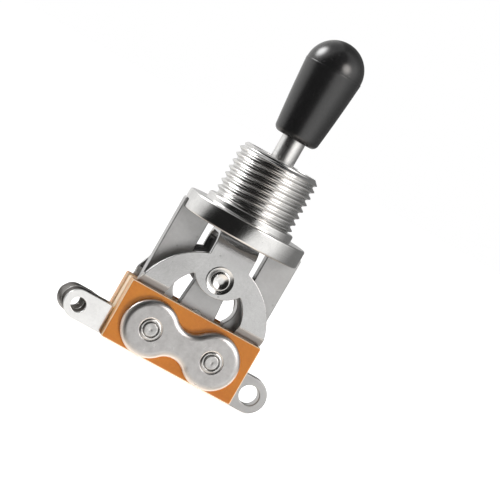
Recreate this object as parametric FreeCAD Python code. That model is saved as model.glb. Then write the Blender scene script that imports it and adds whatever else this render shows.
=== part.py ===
"""Three-way toggle selector switch for a guitar's pickups, made as separate pieces.

The frame: the origin is on the axis of the threaded bushing, at the face of its flange that
seats against the instrument's panel. +Z points up the lever to the knob, -Y is the front, and
+X is the side of the ground lug. The lever stands in its middle position. Lengths are in
millimetres.
"""
import FreeCAD, Part
import math
import os

# Panel bushing, one turned piece
BUSHING_HEIGHT = 9.0
THREAD_DIAMETER = 11.8
THREAD_LEAD_IN = 0.7
THREAD_PITCH = 1.0
THREAD_DEPTH = 0.5
THREAD_CREST = 0.2
THREAD_ROOT = 0.1
COLLAR_DIAMETER = 12.8
COLLAR_HEIGHT = 1.0
COLLAR_CHAMFER = 0.4
BORE_PLAY = 0.2
FLANGE_DIAMETER = 17.6
FLANGE_THICKNESS = 2.7
FLANGE_CHAMFER = 0.25
TONGUE_DEPTH = 1.35

# Lever, with its paddle, cam and knob
ROD_DIAMETER = 3.4
ROD_FOOT = -2.0
ROD_FORK_DEPTH = 4.2
KNOB_GAP = 3.3
KNOB_LENGTH = 14.7
KNOB_BASE_DIAMETER = 6.5
KNOB_SHOULDER_DIAMETER = 8.3
KNOB_BASE_CHAMFER = 0.7
KNOB_SEAM = 0.07
KNOB_SOCKET_DEPTH = 8.5
KNOB_SOCKET_CLEARANCE = 0.03
PADDLE_SIDE_PLAY = 0.1
PADDLE_TONGUE_WIDTH = 2.4
PADDLE_HUB_DIAMETER = 4.4
PADDLE_END_WIDTH = 5.5
PADDLE_REACH = 7.2
PADDLE_END_ROUND = 1.0
FORK_RIVET_DIAMETER = 1.2
FORK_RIVET_PROUD = 0.2
CAM_DIAMETER = 1.6
CAM_EDGE = 0.5
CAM_CHAMFER = 0.3
CAM_PLAY = 0.6
CAM_LIFT_GAP = 0.15
LEVER_TILT = 8.0

# Pivot pin across the two arms of the bracket
PIVOT_DROP = 8.8
PIN_DIAMETER = 2.0
PIN_CLEARANCE = 0.05
PIN_HEAD_DIAMETER = 3.7
PIN_HEAD_HEIGHT = 0.4
PIN_HEAD_CHAMFER = 0.3
PIN_TIP_DIAMETER = 2.15
PIN_TIP_HEIGHT = 0.6
PIN_TIP_CHAMFER = 0.4
SPACER_DIAMETER = 3.8
SPACER_SIDE_PLAY = 0.1

# Flat frame plate in the middle plane
FRAME_THICKNESS = 2.0
STRAP_OUTER_SPAN = 18.05
STRAP_INNER_SPAN = 9.3
WINDOW_LOBE_SPAN = 9.25
WINDOW_LOBE_RADIUS = 2.6
WINDOW_LOBE_DROP = 11.9
WINDOW_NECK_SPAN = 7.6
WINDOW_SHOULDER_DROP = 9.0
WINDOW_SHOULDER_ROUND = 1.4
POCKET_PLAY = 0.3
POCKET_ROUND = 1.2

# Folded bracket with a front and a rear arch
SHEET = 0.75
ARM_SPAN = 7.6
BRACKET_BEND = 2.2
TAB_WIDTH = 6.0
ARCH_OUTER_RADIUS = 9.6
ARCH_OUTER_DROP = 15.3
ARCH_INNER_RADIUS = 5.45
ARCH_INNER_DROP = 13.6
HUB_EDGE_RADIUS = 4.4
HUB_EDGE_DEPTH = 2.45
JOGGLE_DROP = 12.95
JOGGLE_LENGTH = 0.95
LEVER_SLOT_PLAY = 0.3
FOOT_SPAN = 17.2
FOOT_DROP = 21.9
FOOT_PLAY = 0.1
FOOT_SHOULDER_GAP = 0.05

# Stack of contacts and insulation, clamped by two rivets
STACK_WIDTH = 19.9
STACK_TOP = 14.1
STACK_BOTTOM = 22.85
STACK_OFFSET = -0.3
STACK_CHAMFER = 0.3
INSULATOR = 0.2
FIXED_CONTACT = 0.2
SPRING_CONTACT = 0.15
OUTER_PLATE_WALL = 0.9
LAYER_INSET = 0.15
RIVET_SPAN = 9.4
RIVET_DROP = 18.85
RIVET_DIAMETER = 2.2
RIVET_HEAD_DIAMETER = 3.2
RIVET_SINK = 0.4
RIVET_PROUD = 0.15
RIVET_DIMPLE_RADIUS = 0.5
RIVET_DIMPLE_DEPTH = 0.3
SLEEVE_WALL = 0.4
BUTTON_DIAMETER = 1.3
BUTTON_OFFSET = 3.3
BUTTON_DROP = 15.2
EAR_WIDTH = 1.7
EAR_TOP_GAP = 0.3
SPRING_TONGUE_WIDTH = 2.8
CONTACT_SHOULDER_GAP = 0.3
CONTACT_FOOT_GAP = 0.3
EAR_SIDE_GAP = 0.3
CONTACT_END_MARGIN = 1.2

# Solder lugs
LUG_WIDTH = 4.05
LUG_DROP = 20.83
LUG_HOLE_DIAMETER = 2.1
LUG_REACH = 16.6
SPREAD_LUG_REACH = 17.05
LUG_SPREAD = 1.55
LUG_SPREAD_START = 12.2
LUG_SPREAD_LENGTH = 0.8
GROUND_LUG_WIDTH = 5.0
GROUND_LUG_DROP = 20.65
GROUND_LUG_HOLE_DIAMETER = 2.8
GROUND_LUG_REACH = 14.5

# Figure-of-eight clamp plates
CLAMP_THICKNESS = 0.9
CLAMP_LOBE_RADIUS = 4.0
CLAMP_NECK = 4.1
CLAMP_CHAMFER = 0.3

# How far a cutting tool runs past what it cuts
OVERCUT = 1.0

# Levels worked out from the sizes above
TILT = math.radians(LEVER_TILT)
BORE_RADIUS = ((BUSHING_HEIGHT + PIVOT_DROP) * math.tan(TILT)
               + ROD_DIAMETER / 2 / math.cos(TILT) + BORE_PLAY)
PADDLE_THICKNESS = FRAME_THICKNESS - 2 * PADDLE_SIDE_PLAY
PIVOT_Z = -PIVOT_DROP
FLANGE_BASE = -FLANGE_THICKNESS
TONGUE_TOP = FLANGE_BASE + TONGUE_DEPTH
KNOB_BASE = BUSHING_HEIGHT + KNOB_GAP
KNOB_TOP = KNOB_BASE + KNOB_LENGTH
ROD_TOP = KNOB_BASE + KNOB_SOCKET_DEPTH
FORK_ROOF = ROD_FOOT + ROD_FORK_DEPTH
FORK_RIVET_Z = (ROD_FOOT + FORK_ROOF) / 2
ARM_FACE = ARM_SPAN / 2
ARM_INSIDE = ARM_FACE - SHEET
BLOCK_LEFT = STACK_OFFSET - STACK_WIDTH / 2
BLOCK_RIGHT = STACK_OFFSET + STACK_WIDTH / 2
RIVET_XS = (STACK_OFFSET - RIVET_SPAN / 2, STACK_OFFSET + RIVET_SPAN / 2)
RIVET_Z = -RIVET_DROP
RIVET_RADIUS = RIVET_DIAMETER / 2
SLEEVE_RADIUS = RIVET_RADIUS + SLEEVE_WALL
LUG_Z = -LUG_DROP

# Room that the paddle's end and its cam sweep through as the lever tilts
CAM_ARM = PADDLE_REACH - CAM_EDGE - CAM_DIAMETER / 2
CAM_Z = PIVOT_Z - CAM_ARM
CORNER_OUT = PADDLE_END_WIDTH / 2 - PADDLE_END_ROUND
CORNER_DOWN = PADDLE_REACH - PADDLE_END_ROUND
CORNER_ARM = math.hypot(CORNER_OUT, CORNER_DOWN)
CORNER_ANGLE = math.atan2(CORNER_OUT, CORNER_DOWN)
POCKET_HALF = CORNER_ARM * math.sin(CORNER_ANGLE + TILT) + PADDLE_END_ROUND + POCKET_PLAY
POCKET_BASE = PIVOT_Z - CORNER_ARM * math.cos(CORNER_ANGLE - TILT) - PADDLE_END_ROUND - POCKET_PLAY
CAM_SLOT_HALF = CAM_ARM * math.sin(TILT) + CAM_DIAMETER / 2 + CAM_PLAY
CAM_SLOT_BASE = CAM_Z - CAM_DIAMETER / 2 - CAM_PLAY
CONTACT_SHOULDER = CAM_SLOT_BASE - CONTACT_SHOULDER_GAP

# Depth of each layer of one half of the stack, from the middle plane outwards
INNER_INSULATOR_Y = FRAME_THICKNESS / 2
FIXED_CONTACT_Y = INNER_INSULATOR_Y + INSULATOR
MIDDLE_INSULATOR_Y = FIXED_CONTACT_Y + FIXED_CONTACT
SPRING_CONTACT_Y = MIDDLE_INSULATOR_Y + INSULATOR
OUTER_INSULATOR_Y = SPRING_CONTACT_Y + SPRING_CONTACT
FOOT_Y = OUTER_INSULATOR_Y + INSULATOR
CLAMP_Y = FOOT_Y + SHEET + OUTER_PLATE_WALL
CLAMP_FACE = CLAMP_Y + CLAMP_THICKNESS
CAM_FACE = SPRING_CONTACT_Y - CAM_LIFT_GAP

V = FreeCAD.Vector
ALONG_X = V(1, 0, 0)
ALONG_Y = V(0, 1, 0)
ALONG_Z = V(0, 0, 1)
ORIGIN = V(0, 0, 0)


def block(x0, x1, y0, y1, z0, z1):
    """A rectangular block between two opposite corners."""
    return Part.makeBox(x1 - x0, y1 - y0, z1 - z0, V(x0, y0, z0))


def disc(radius, x, z, y0, y1):
    """A round disc whose axis runs along Y."""
    return Part.makeCylinder(radius, y1 - y0, V(x, y0, z), ALONG_Y)


def edges_along_y(solid):
    """The straight edges of a block that run from front to rear."""
    return [edge for edge in solid.Edges if abs(edge.tangentAt(edge.FirstParameter).y) > 0.99]


def rounded_block(x0, x1, y0, y1, z0, z1, radius):
    """A block whose four edges along Y are rounded."""
    solid = block(x0, x1, y0, y1, z0, z1)
    return solid.makeFillet(radius, edges_along_y(solid))


def cornered_block(x0, x1, y0, y1, z0, z1, size):
    """A block whose four edges along Y are cut off at 45 degrees, as on a blanked sheet."""
    solid = block(x0, x1, y0, y1, z0, z1)
    return solid.makeChamfer(size, edges_along_y(solid))


def revolve(points):
    """A turned piece from half its outline, a list of (radius, height) pairs."""
    corners = [V(radius, 0, height) for radius, height in points]
    face = Part.Face(Part.makePolygon(corners + corners[:1]))
    return face.revolve(ORIGIN, ALONG_Z, 360)


def spindle(half_outline, x, z):
    """A turned piece along Y with like ends, from (radius, depth) pairs that run from the middle outwards."""
    rear = [V(x + radius, depth, z) for radius, depth in half_outline]
    front = [V(x + radius, -depth, z) for radius, depth in reversed(half_outline)]
    reach = half_outline[-1][1]
    outline = [V(x, -reach, z)] + front + rear + [V(x, reach, z)]
    corners = [corner for i, corner in enumerate(outline) if i == 0 or corner != outline[i - 1]]
    face = Part.Face(Part.makePolygon(corners + corners[:1]))
    return face.revolve(V(x, 0, z), ALONG_Y, 360)


def point(x, z):
    """A point of a front view, in the middle plane."""
    return V(x, 0, z)


def on_circle(x, z, radius, angle):
    """A point on a circle of the front view; the angle is in radians from +X towards +Z."""
    return V(x + radius * math.cos(angle), 0, z + radius * math.sin(angle))


def line(start, end):
    """A straight edge."""
    return Part.LineSegment(start, end).toShape()


def arc(start, middle, end):
    """A round edge through three points."""
    return Part.Arc(start, middle, end).toShape()


def prism(edges, y0, y1):
    """A flat piece between two depths, from edges drawn in the plane y = 0."""
    face = Part.Face(Part.Wire(Part.__sortEdges__(edges)))
    face.translate(V(0, y0, 0))
    return face.extrude(V(0, y1 - y0, 0))


def fuse(first, *others):
    """One solid from several that meet or overlap."""
    return first.multiFuse(list(others)).removeSplitter()


def to_rear(solid):
    """The rear twin of a front piece, mirrored in the middle plane."""
    return solid.mirror(ORIGIN, ALONG_Y)


def thread_outline():
    """The thread's ridges as plain rings, from the collar up to the lead-in."""
    crest = THREAD_DIAMETER / 2
    root = crest - THREAD_DEPTH
    top = BUSHING_HEIGHT - THREAD_LEAD_IN
    grooves = int((top - COLLAR_HEIGHT - THREAD_CREST) / THREAD_PITCH)
    mouth = (THREAD_PITCH - THREAD_CREST) / 2
    outline = [(crest, COLLAR_HEIGHT)]
    for groove in reversed(range(grooves)):
        middle = top - THREAD_CREST / 2 - (groove + 0.5) * THREAD_PITCH
        outline += [
            (crest, middle - mouth),
            (root, middle - THREAD_ROOT / 2),
            (root, middle + THREAD_ROOT / 2),
            (crest, middle + mouth),
        ]
    return outline + [(crest, top)]


def make_bushing():
    """Threaded neck, collar and flange; a slot under the flange takes the frame's two straps."""
    lead_in = THREAD_DIAMETER / 2 - THREAD_LEAD_IN
    collar = COLLAR_DIAMETER / 2
    flange = FLANGE_DIAMETER / 2
    body = revolve([
        (BORE_RADIUS, FLANGE_BASE),
        (flange - FLANGE_CHAMFER, FLANGE_BASE),
        (flange, FLANGE_BASE + FLANGE_CHAMFER),
        (flange, -FLANGE_CHAMFER),
        (flange - FLANGE_CHAMFER, 0),
        (collar, 0),
        (collar, COLLAR_HEIGHT - COLLAR_CHAMFER),
        (collar - COLLAR_CHAMFER, COLLAR_HEIGHT),
        *thread_outline(),
        (lead_in, BUSHING_HEIGHT),
        (BORE_RADIUS, BUSHING_HEIGHT),
    ])
    half = FRAME_THICKNESS / 2
    slot = block(-flange - OVERCUT, flange + OVERCUT, -half, half, FLANGE_BASE - OVERCUT, TONGUE_TOP)
    return body.cut(slot)


def make_knob():
    """Tapered plastic tip with a domed end and a blind socket for the rod."""
    base = KNOB_BASE_DIAMETER / 2
    shoulder = KNOB_SHOULDER_DIAMETER / 2
    dome = shoulder - KNOB_SEAM
    dome_base = KNOB_TOP - dome
    cone = Part.makeCone(base, shoulder, dome_base - KNOB_BASE, V(0, 0, KNOB_BASE), ALONG_Z)
    rim = [edge for edge in cone.Edges if abs(edge.BoundBox.ZMax - KNOB_BASE) < 1e-6]
    cone = cone.makeChamfer(KNOB_BASE_CHAMFER, rim)
    cap = Part.makeSphere(dome, V(0, 0, dome_base), ALONG_Z, 0, 90, 360)
    socket_radius = ROD_DIAMETER / 2 + KNOB_SOCKET_CLEARANCE
    socket_start = V(0, 0, KNOB_BASE - OVERCUT)
    socket = Part.makeCylinder(socket_radius, ROD_TOP - KNOB_BASE + OVERCUT, socket_start, ALONG_Z)
    return fuse(cone, cap).cut(socket)


def make_lever_rod():
    """Round rod, forked at its foot to hold the paddle."""
    radius = ROD_DIAMETER / 2
    rod = Part.makeCylinder(radius, ROD_TOP - ROD_FOOT, V(0, 0, ROD_FOOT), ALONG_Z)
    half = PADDLE_THICKNESS / 2
    fork = block(-radius - OVERCUT, radius + OVERCUT, -half, half, ROD_FOOT - OVERCUT, FORK_ROOF)
    hole = disc(FORK_RIVET_DIAMETER / 2, 0, FORK_RIVET_Z, -radius - OVERCUT, radius + OVERCUT)
    return rod.cut(fork).cut(hole)


def make_fork_rivet():
    """Small rivet through the rod's fork and the paddle's tongue."""
    radius = FORK_RIVET_DIAMETER / 2
    reach = ROD_DIAMETER / 2 + FORK_RIVET_PROUD
    return disc(radius, 0, FORK_RIVET_Z, -reach, reach)


def make_lever_paddle():
    """Stamped plate: a tongue in the fork, a hub on the pivot and a flared, rounded end."""
    half = PADDLE_THICKNESS / 2
    tongue_half = PADDLE_TONGUE_WIDTH / 2
    hub = PADDLE_HUB_DIAMETER / 2
    foot = PIVOT_Z - PADDLE_REACH
    corner_z = PIVOT_Z - CORNER_DOWN
    neck_angle = math.acos(tongue_half / hub)
    slope = math.atan2(PADDLE_END_WIDTH / 2 - hub, CORNER_DOWN)
    roof = point(tongue_half, FORK_ROOF)
    neck = on_circle(0, PIVOT_Z, hub, neck_angle)
    hub_bulge = on_circle(0, PIVOT_Z, hub, neck_angle / 2)
    hub_side = point(hub, PIVOT_Z)
    flare_end = on_circle(CORNER_OUT, corner_z, PADDLE_END_ROUND, slope)
    corner_bulge = on_circle(CORNER_OUT, corner_z, PADDLE_END_ROUND, slope / 2 - math.pi / 4)
    foot_end = point(CORNER_OUT, foot)
    right = [
        line(roof, neck),
        arc(neck, hub_bulge, hub_side),
        line(hub_side, flare_end),
        arc(flare_end, corner_bulge, foot_end),
    ]
    left = [edge.mirror(ORIGIN, ALONG_X) for edge in right]
    ends = [line(roof, point(-tongue_half, FORK_ROOF)), line(foot_end, point(-CORNER_OUT, foot))]
    plate = prism(right + left + ends, -half, half)
    reach = half + OVERCUT
    pivot_hole = disc(PIN_DIAMETER / 2 + PIN_CLEARANCE, 0, PIVOT_Z, -reach, reach)
    cam_hole = disc(CAM_DIAMETER / 2, 0, CAM_Z, -reach, reach)
    rivet_hole = disc(FORK_RIVET_DIAMETER / 2, 0, FORK_RIVET_Z, -reach, reach)
    return plate.cut(pivot_hole).cut(cam_hole).cut(rivet_hole)


def make_actuator_cam():
    """Insulating pin through the paddle's end, whose bevelled ends work the spring contacts."""
    radius = CAM_DIAMETER / 2
    return spindle([(radius, CAM_FACE - CAM_CHAMFER), (radius - CAM_CHAMFER, CAM_FACE)], 0, CAM_Z)


def make_pivot_pin():
    """Pin across the bracket, with a brimmed and domed head outside each arm."""
    head = PIN_HEAD_DIAMETER / 2
    tip = PIN_TIP_DIAMETER / 2
    head_face = ARM_FACE + PIN_HEAD_HEIGHT
    tip_face = head_face + PIN_TIP_HEIGHT
    return spindle([
        (PIN_DIAMETER / 2, ARM_FACE),
        (head, ARM_FACE),
        (head, head_face - PIN_HEAD_CHAMFER),
        (head - PIN_HEAD_CHAMFER, head_face),
        (tip, head_face),
        (tip, tip_face - PIN_TIP_CHAMFER),
        (tip - PIN_TIP_CHAMFER, tip_face),
    ], 0, PIVOT_Z)


def make_pivot_spacer():
    """Tube on the pivot pin that keeps the paddle in the middle of the bracket."""
    inside = PADDLE_THICKNESS / 2 + SPACER_SIDE_PLAY
    tube = disc(SPACER_DIAMETER / 2, 0, PIVOT_Z, -ARM_INSIDE, -inside)
    bore = disc(PIN_DIAMETER / 2, 0, PIVOT_Z, -ARM_INSIDE - OVERCUT, -inside + OVERCUT)
    return tube.cut(bore)


def window_cutter(y0, y1):
    """The frame's window: a straight top, two round lobes and a pocket for the paddle's end."""
    lobe_z = -WINDOW_LOBE_DROP
    lobe_x = WINDOW_LOBE_SPAN / 2 - WINDOW_LOBE_RADIUS
    strap = STRAP_INNER_SPAN / 2
    neck = WINDOW_NECK_SPAN / 2
    top = TONGUE_TOP + OVERCUT
    upper = rounded_block(-strap, strap, y0, y1, -WINDOW_SHOULDER_DROP, top + strap, WINDOW_SHOULDER_ROUND)
    throat = block(-neck, neck, y0, y1, lobe_z, -WINDOW_SHOULDER_DROP + WINDOW_SHOULDER_ROUND)
    left = disc(WINDOW_LOBE_RADIUS, -lobe_x, lobe_z, y0, y1)
    right = disc(WINDOW_LOBE_RADIUS, lobe_x, lobe_z, y0, y1)
    pouch = rounded_block(-POCKET_HALF, POCKET_HALF, y0, y1, POCKET_BASE, lobe_z, POCKET_ROUND)
    middle = block(-lobe_x, lobe_x, y0, y1, lobe_z - WINDOW_LOBE_RADIUS, lobe_z)
    return fuse(upper, throat, left, right, pouch, middle)


def lug_blank(reach, width, drop, root, y0, y1):
    """A flat lug with a round end; reach is its tip and root is where it leaves the stack."""
    half = width / 2
    side = 1 if reach > root else -1
    centre = reach - side * half
    bar = block(min(root, centre), max(root, centre), y0, y1, -drop - half, -drop + half)
    return fuse(bar, disc(half, centre, -drop, y0, y1))


def make_frame_plate():
    """Flat plate: two straps up into the flange, a window, and the ground lug on the right."""
    half = FRAME_THICKNESS / 2
    reach = half + OVERCUT
    strap = STRAP_OUTER_SPAN / 2
    straps = block(-strap, strap, -half, half, -STACK_TOP - OVERCUT, TONGUE_TOP)
    root = cornered_block(BLOCK_LEFT + LAYER_INSET, BLOCK_RIGHT - LAYER_INSET, -half, half,
                          -STACK_BOTTOM, -STACK_TOP - LAYER_INSET, STACK_CHAMFER)
    lug = lug_blank(GROUND_LUG_REACH, GROUND_LUG_WIDTH, GROUND_LUG_DROP, BLOCK_RIGHT - OVERCUT, -half, half)
    plate = fuse(straps, root, lug).cut(window_cutter(-reach, reach))
    hole_x = GROUND_LUG_REACH - GROUND_LUG_WIDTH / 2
    plate = plate.cut(disc(GROUND_LUG_HOLE_DIAMETER / 2, hole_x, -GROUND_LUG_DROP, -reach, reach))
    for x in RIVET_XS:
        plate = plate.cut(disc(SLEEVE_RADIUS, x, RIVET_Z, -reach, reach))
    return plate


def side_point(y, z):
    """A point of a side view, in the plane x = 0."""
    return V(0, y, z)


def bend(centre_y, centre_z, radius):
    """A quarter bend of the side view, from straight up the front to straight back over the top."""
    quarter = radius * math.sqrt(0.5)
    return arc(side_point(centre_y - radius, centre_z), side_point(centre_y - quarter, centre_z + quarter),
               side_point(centre_y, centre_z + radius))


def bracket_strip(width):
    """The bracket seen from its side: web, two bends, two arms, two joggles and two feet."""
    top = FLANGE_BASE
    roof = top - SHEET
    bend_z = top - BRACKET_BEND
    bend_y = -ARM_FACE + BRACKET_BEND
    foot_face = FOOT_Y + SHEET
    joggle_in = ARM_FACE - foot_face
    joggle_base = -JOGGLE_DROP - JOGGLE_LENGTH
    lift = SHEET * (math.hypot(JOGGLE_LENGTH, joggle_in) - JOGGLE_LENGTH) / joggle_in
    outside = [
        line(side_point(-foot_face, -FOOT_DROP), side_point(-foot_face, joggle_base)),
        line(side_point(-foot_face, joggle_base), side_point(-ARM_FACE, -JOGGLE_DROP)),
        line(side_point(-ARM_FACE, -JOGGLE_DROP), side_point(-ARM_FACE, bend_z)),
        bend(bend_y, bend_z, BRACKET_BEND),
        line(side_point(bend_y, top), side_point(0, top)),
    ]
    inside = [
        line(side_point(0, roof), side_point(bend_y, roof)),
        bend(bend_y, bend_z, BRACKET_BEND - SHEET),
        line(side_point(-ARM_INSIDE, bend_z), side_point(-ARM_INSIDE, -JOGGLE_DROP + lift)),
        line(side_point(-ARM_INSIDE, -JOGGLE_DROP + lift), side_point(-FOOT_Y, joggle_base + lift)),
        line(side_point(-FOOT_Y, joggle_base + lift), side_point(-FOOT_Y, -FOOT_DROP)),
    ]
    ends = [
        line(side_point(0, top), side_point(0, roof)),
        line(side_point(-FOOT_Y, -FOOT_DROP), side_point(-foot_face, -FOOT_DROP)),
    ]
    face = Part.Face(Part.Wire(Part.__sortEdges__(outside + inside + ends)))
    face.translate(V(-width / 2, 0, 0))
    half = face.extrude(V(width, 0, 0))
    return fuse(half, to_rear(half))


def bracket_outline(y0, y1):
    """The bracket seen from the front: tab, arch, hub over the opening, and the hidden feet."""
    tab_half = TAB_WIDTH / 2
    foot_half = FOOT_SPAN / 2
    outer_z = -ARCH_OUTER_DROP
    inner_z = -ARCH_INNER_DROP
    shoulder = -STACK_TOP + FOOT_SHOULDER_GAP
    tab = block(-tab_half, tab_half, y0, y1, outer_z, 0)
    arch = disc(ARCH_OUTER_RADIUS, 0, outer_z, y0, y1)
    below = block(-ARCH_OUTER_RADIUS - OVERCUT, ARCH_OUTER_RADIUS + OVERCUT, y0, y1,
                  outer_z - 2 * ARCH_OUTER_RADIUS, shoulder)
    arch = arch.cut(below)
    feet = block(-foot_half, foot_half, y0, y1, -FOOT_DROP, shoulder)
    tab = tab.cut(below)
    hub_centre = PIVOT_Z - HUB_EDGE_DEPTH + HUB_EDGE_RADIUS
    opening = disc(ARCH_INNER_RADIUS, 0, inner_z, y0 - OVERCUT, y1 + OVERCUT)
    opening = opening.cut(disc(HUB_EDGE_RADIUS, 0, hub_centre, y0 - OVERCUT, y1 + OVERCUT))
    above_hub = block(-HUB_EDGE_RADIUS, HUB_EDGE_RADIUS, y0 - OVERCUT, y1 + OVERCUT, PIVOT_Z, 0)
    opening = opening.cut(above_hub)
    return fuse(tab, arch, feet).cut(opening)


def make_bracket():
    """Folded from one sheet: its front outline crossed with its side strip, then pierced."""
    reach = ARM_FACE + OVERCUT
    shape = bracket_outline(-reach, reach).common(bracket_strip(2 * ARCH_OUTER_RADIUS))
    swing = (FLANGE_BASE - PIVOT_Z) * math.sin(TILT)
    slot_half = PADDLE_TONGUE_WIDTH / 2 + swing + LEVER_SLOT_PLAY
    slot_depth = PADDLE_THICKNESS / 2 + LEVER_SLOT_PLAY
    slot = block(-slot_half, slot_half, -slot_depth, slot_depth,
                 FLANGE_BASE - SHEET - OVERCUT, FLANGE_BASE + OVERCUT)
    shape = shape.cut(slot)
    shape = shape.cut(disc(PIN_DIAMETER / 2, 0, PIVOT_Z, -reach, reach))
    for x in RIVET_XS:
        shape = shape.cut(disc(RIVET_RADIUS, x, RIVET_Z, -reach, reach))
    return shape


def stack_sheet(y_inside, y_outside, inset):
    """One full sheet of the front half of the stack."""
    return cornered_block(BLOCK_LEFT + inset, BLOCK_RIGHT - inset, -y_outside, -y_inside,
                          -STACK_BOTTOM + inset, -STACK_TOP - inset, STACK_CHAMFER)


def pierce(sheet, y_inside, y_outside, radius):
    """Drill the two rivet holes through a sheet of the front half."""
    for x in RIVET_XS:
        sheet = sheet.cut(disc(radius, x, RIVET_Z, -y_outside - OVERCUT, -y_inside + OVERCUT))
    return sheet


def notch(sheet, y_inside, y_outside, half_width, base):
    """Cut a notch down from the sheet's top edge for what moves there."""
    cutter = block(-half_width, half_width, -y_outside - OVERCUT, -y_inside + OVERCUT,
                   base, -STACK_TOP + OVERCUT)
    return sheet.cut(cutter)


def make_inner_insulator():
    """Insulation beside the frame plate, notched for the cam."""
    sheet = stack_sheet(INNER_INSULATOR_Y, FIXED_CONTACT_Y, LAYER_INSET)
    sheet = notch(sheet, INNER_INSULATOR_Y, FIXED_CONTACT_Y, CAM_SLOT_HALF, CAM_SLOT_BASE)
    return pierce(sheet, INNER_INSULATOR_Y, FIXED_CONTACT_Y, SLEEVE_RADIUS)


def make_middle_insulator():
    """Insulation between the two contacts of a pair, notched past their buttons."""
    half_width = BUTTON_OFFSET + EAR_WIDTH / 2 + EAR_SIDE_GAP
    sheet = stack_sheet(MIDDLE_INSULATOR_Y, SPRING_CONTACT_Y, 0)
    sheet = notch(sheet, MIDDLE_INSULATOR_Y, SPRING_CONTACT_Y, half_width, CONTACT_SHOULDER)
    return pierce(sheet, MIDDLE_INSULATOR_Y, SPRING_CONTACT_Y, SLEEVE_RADIUS)


def make_outer_insulator():
    """Insulation between the spring contact and the bracket's foot."""
    sheet = stack_sheet(OUTER_INSULATOR_Y, FOOT_Y, LAYER_INSET)
    return pierce(sheet, OUTER_INSULATOR_Y, FOOT_Y, SLEEVE_RADIUS)


def make_outer_plate():
    """Moulded outer plate of the stack, with a channel on its inside for the bracket's foot."""
    plate = stack_sheet(FOOT_Y, CLAMP_Y, 0)
    channel_half = FOOT_SPAN / 2 + FOOT_PLAY
    channel = block(-channel_half, channel_half, -FOOT_Y - SHEET, -FOOT_Y + OVERCUT,
                    -FOOT_DROP - FOOT_PLAY, -STACK_TOP + OVERCUT)
    return pierce(plate.cut(channel), FOOT_Y, CLAMP_Y, RIVET_RADIUS)


def spread_strip(y_inside, y_outside):
    """A lug seen from above: it leaves the stack straight, then steps outwards by the spread."""
    step_start = -LUG_SPREAD_START
    step_end = step_start - LUG_SPREAD_LENGTH
    tip = -SPREAD_LUG_REACH - OVERCUT
    inside = [(0, 0), (step_start, 0), (step_end, LUG_SPREAD), (tip, LUG_SPREAD)]
    outline = [(x, -y_inside - out) for x, out in inside]
    outline += [(x, -y_outside - out) for x, out in reversed(inside)]
    base = -LUG_DROP - LUG_WIDTH
    corners = [V(x, y, base) for x, y in outline]
    face = Part.Face(Part.makePolygon(corners + corners[:1]))
    return face.extrude(V(0, 0, 2 * LUG_WIDTH))


def make_lug(y_inside, y_outside, spread):
    """A contact's solder lug on the left, stepped outwards or straight."""
    root = BLOCK_LEFT + OVERCUT
    if not spread:
        return lug_blank(-LUG_REACH, LUG_WIDTH, LUG_DROP, root, -y_outside, -y_inside)
    outline = lug_blank(-SPREAD_LUG_REACH, LUG_WIDTH, LUG_DROP, root, -y_outside - LUG_SPREAD, -y_inside)
    return outline.common(spread_strip(y_inside, y_outside))


def make_contact(y_inside, y_outside, ears, spread=False):
    """A contact: its clamped root, its solder lug on the left and the ears given to it."""
    right = RIVET_XS[1] + SLEEVE_RADIUS + CONTACT_END_MARGIN
    root = block(BLOCK_LEFT + OVERCUT, right, -y_outside, -y_inside,
                 -STACK_BOTTOM + CONTACT_FOOT_GAP, CONTACT_SHOULDER)
    reach = SPREAD_LUG_REACH if spread else LUG_REACH
    hole = disc(LUG_HOLE_DIAMETER / 2, -reach + LUG_WIDTH / 2, LUG_Z,
                -y_outside - LUG_SPREAD - OVERCUT, -y_inside + OVERCUT)
    blade = fuse(root, make_lug(y_inside, y_outside, spread), *ears)
    return pierce(blade.cut(hole), y_inside, y_outside, SLEEVE_RADIUS)


def make_fixed_contact(side):
    """Stiff contact with an ear beside the cam; side is +1 or -1 along X."""
    centre = side * BUTTON_OFFSET
    ear = block(centre - EAR_WIDTH / 2, centre + EAR_WIDTH / 2, -MIDDLE_INSULATOR_Y, -FIXED_CONTACT_Y,
                CONTACT_SHOULDER - OVERCUT, -STACK_TOP - EAR_TOP_GAP)
    return make_contact(FIXED_CONTACT_Y, MIDDLE_INSULATOR_Y, [ear])


def make_spring_contact(side, spread):
    """Thin blade whose tongue stands over the cam, with an arm out to its button."""
    ear_top = -STACK_TOP - EAR_TOP_GAP
    tongue_half = SPRING_TONGUE_WIDTH / 2
    y0 = -OUTER_INSULATOR_Y
    y1 = -SPRING_CONTACT_Y
    tongue = block(-tongue_half, tongue_half, y0, y1, CONTACT_SHOULDER - OVERCUT, ear_top)
    tip = side * (BUTTON_OFFSET + EAR_WIDTH / 2)
    arm = block(min(0, tip), max(0, tip), y0, y1, -BUTTON_DROP - EAR_WIDTH / 2, ear_top)
    return make_contact(SPRING_CONTACT_Y, OUTER_INSULATOR_Y, [tongue, arm], spread)


def make_button(y_base, y_face, side):
    """One silver contact button, standing on its contact and meeting its twin."""
    return disc(BUTTON_DIAMETER / 2, side * BUTTON_OFFSET, -BUTTON_DROP,
                -max(y_base, y_face), -min(y_base, y_face))


def make_sleeve(x):
    """Insulating tube round one rivet, from foot to foot of the bracket."""
    tube = disc(SLEEVE_RADIUS, x, RIVET_Z, -FOOT_Y, FOOT_Y)
    return tube.cut(disc(RIVET_RADIUS, x, RIVET_Z, -FOOT_Y - OVERCUT, FOOT_Y + OVERCUT))


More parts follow.
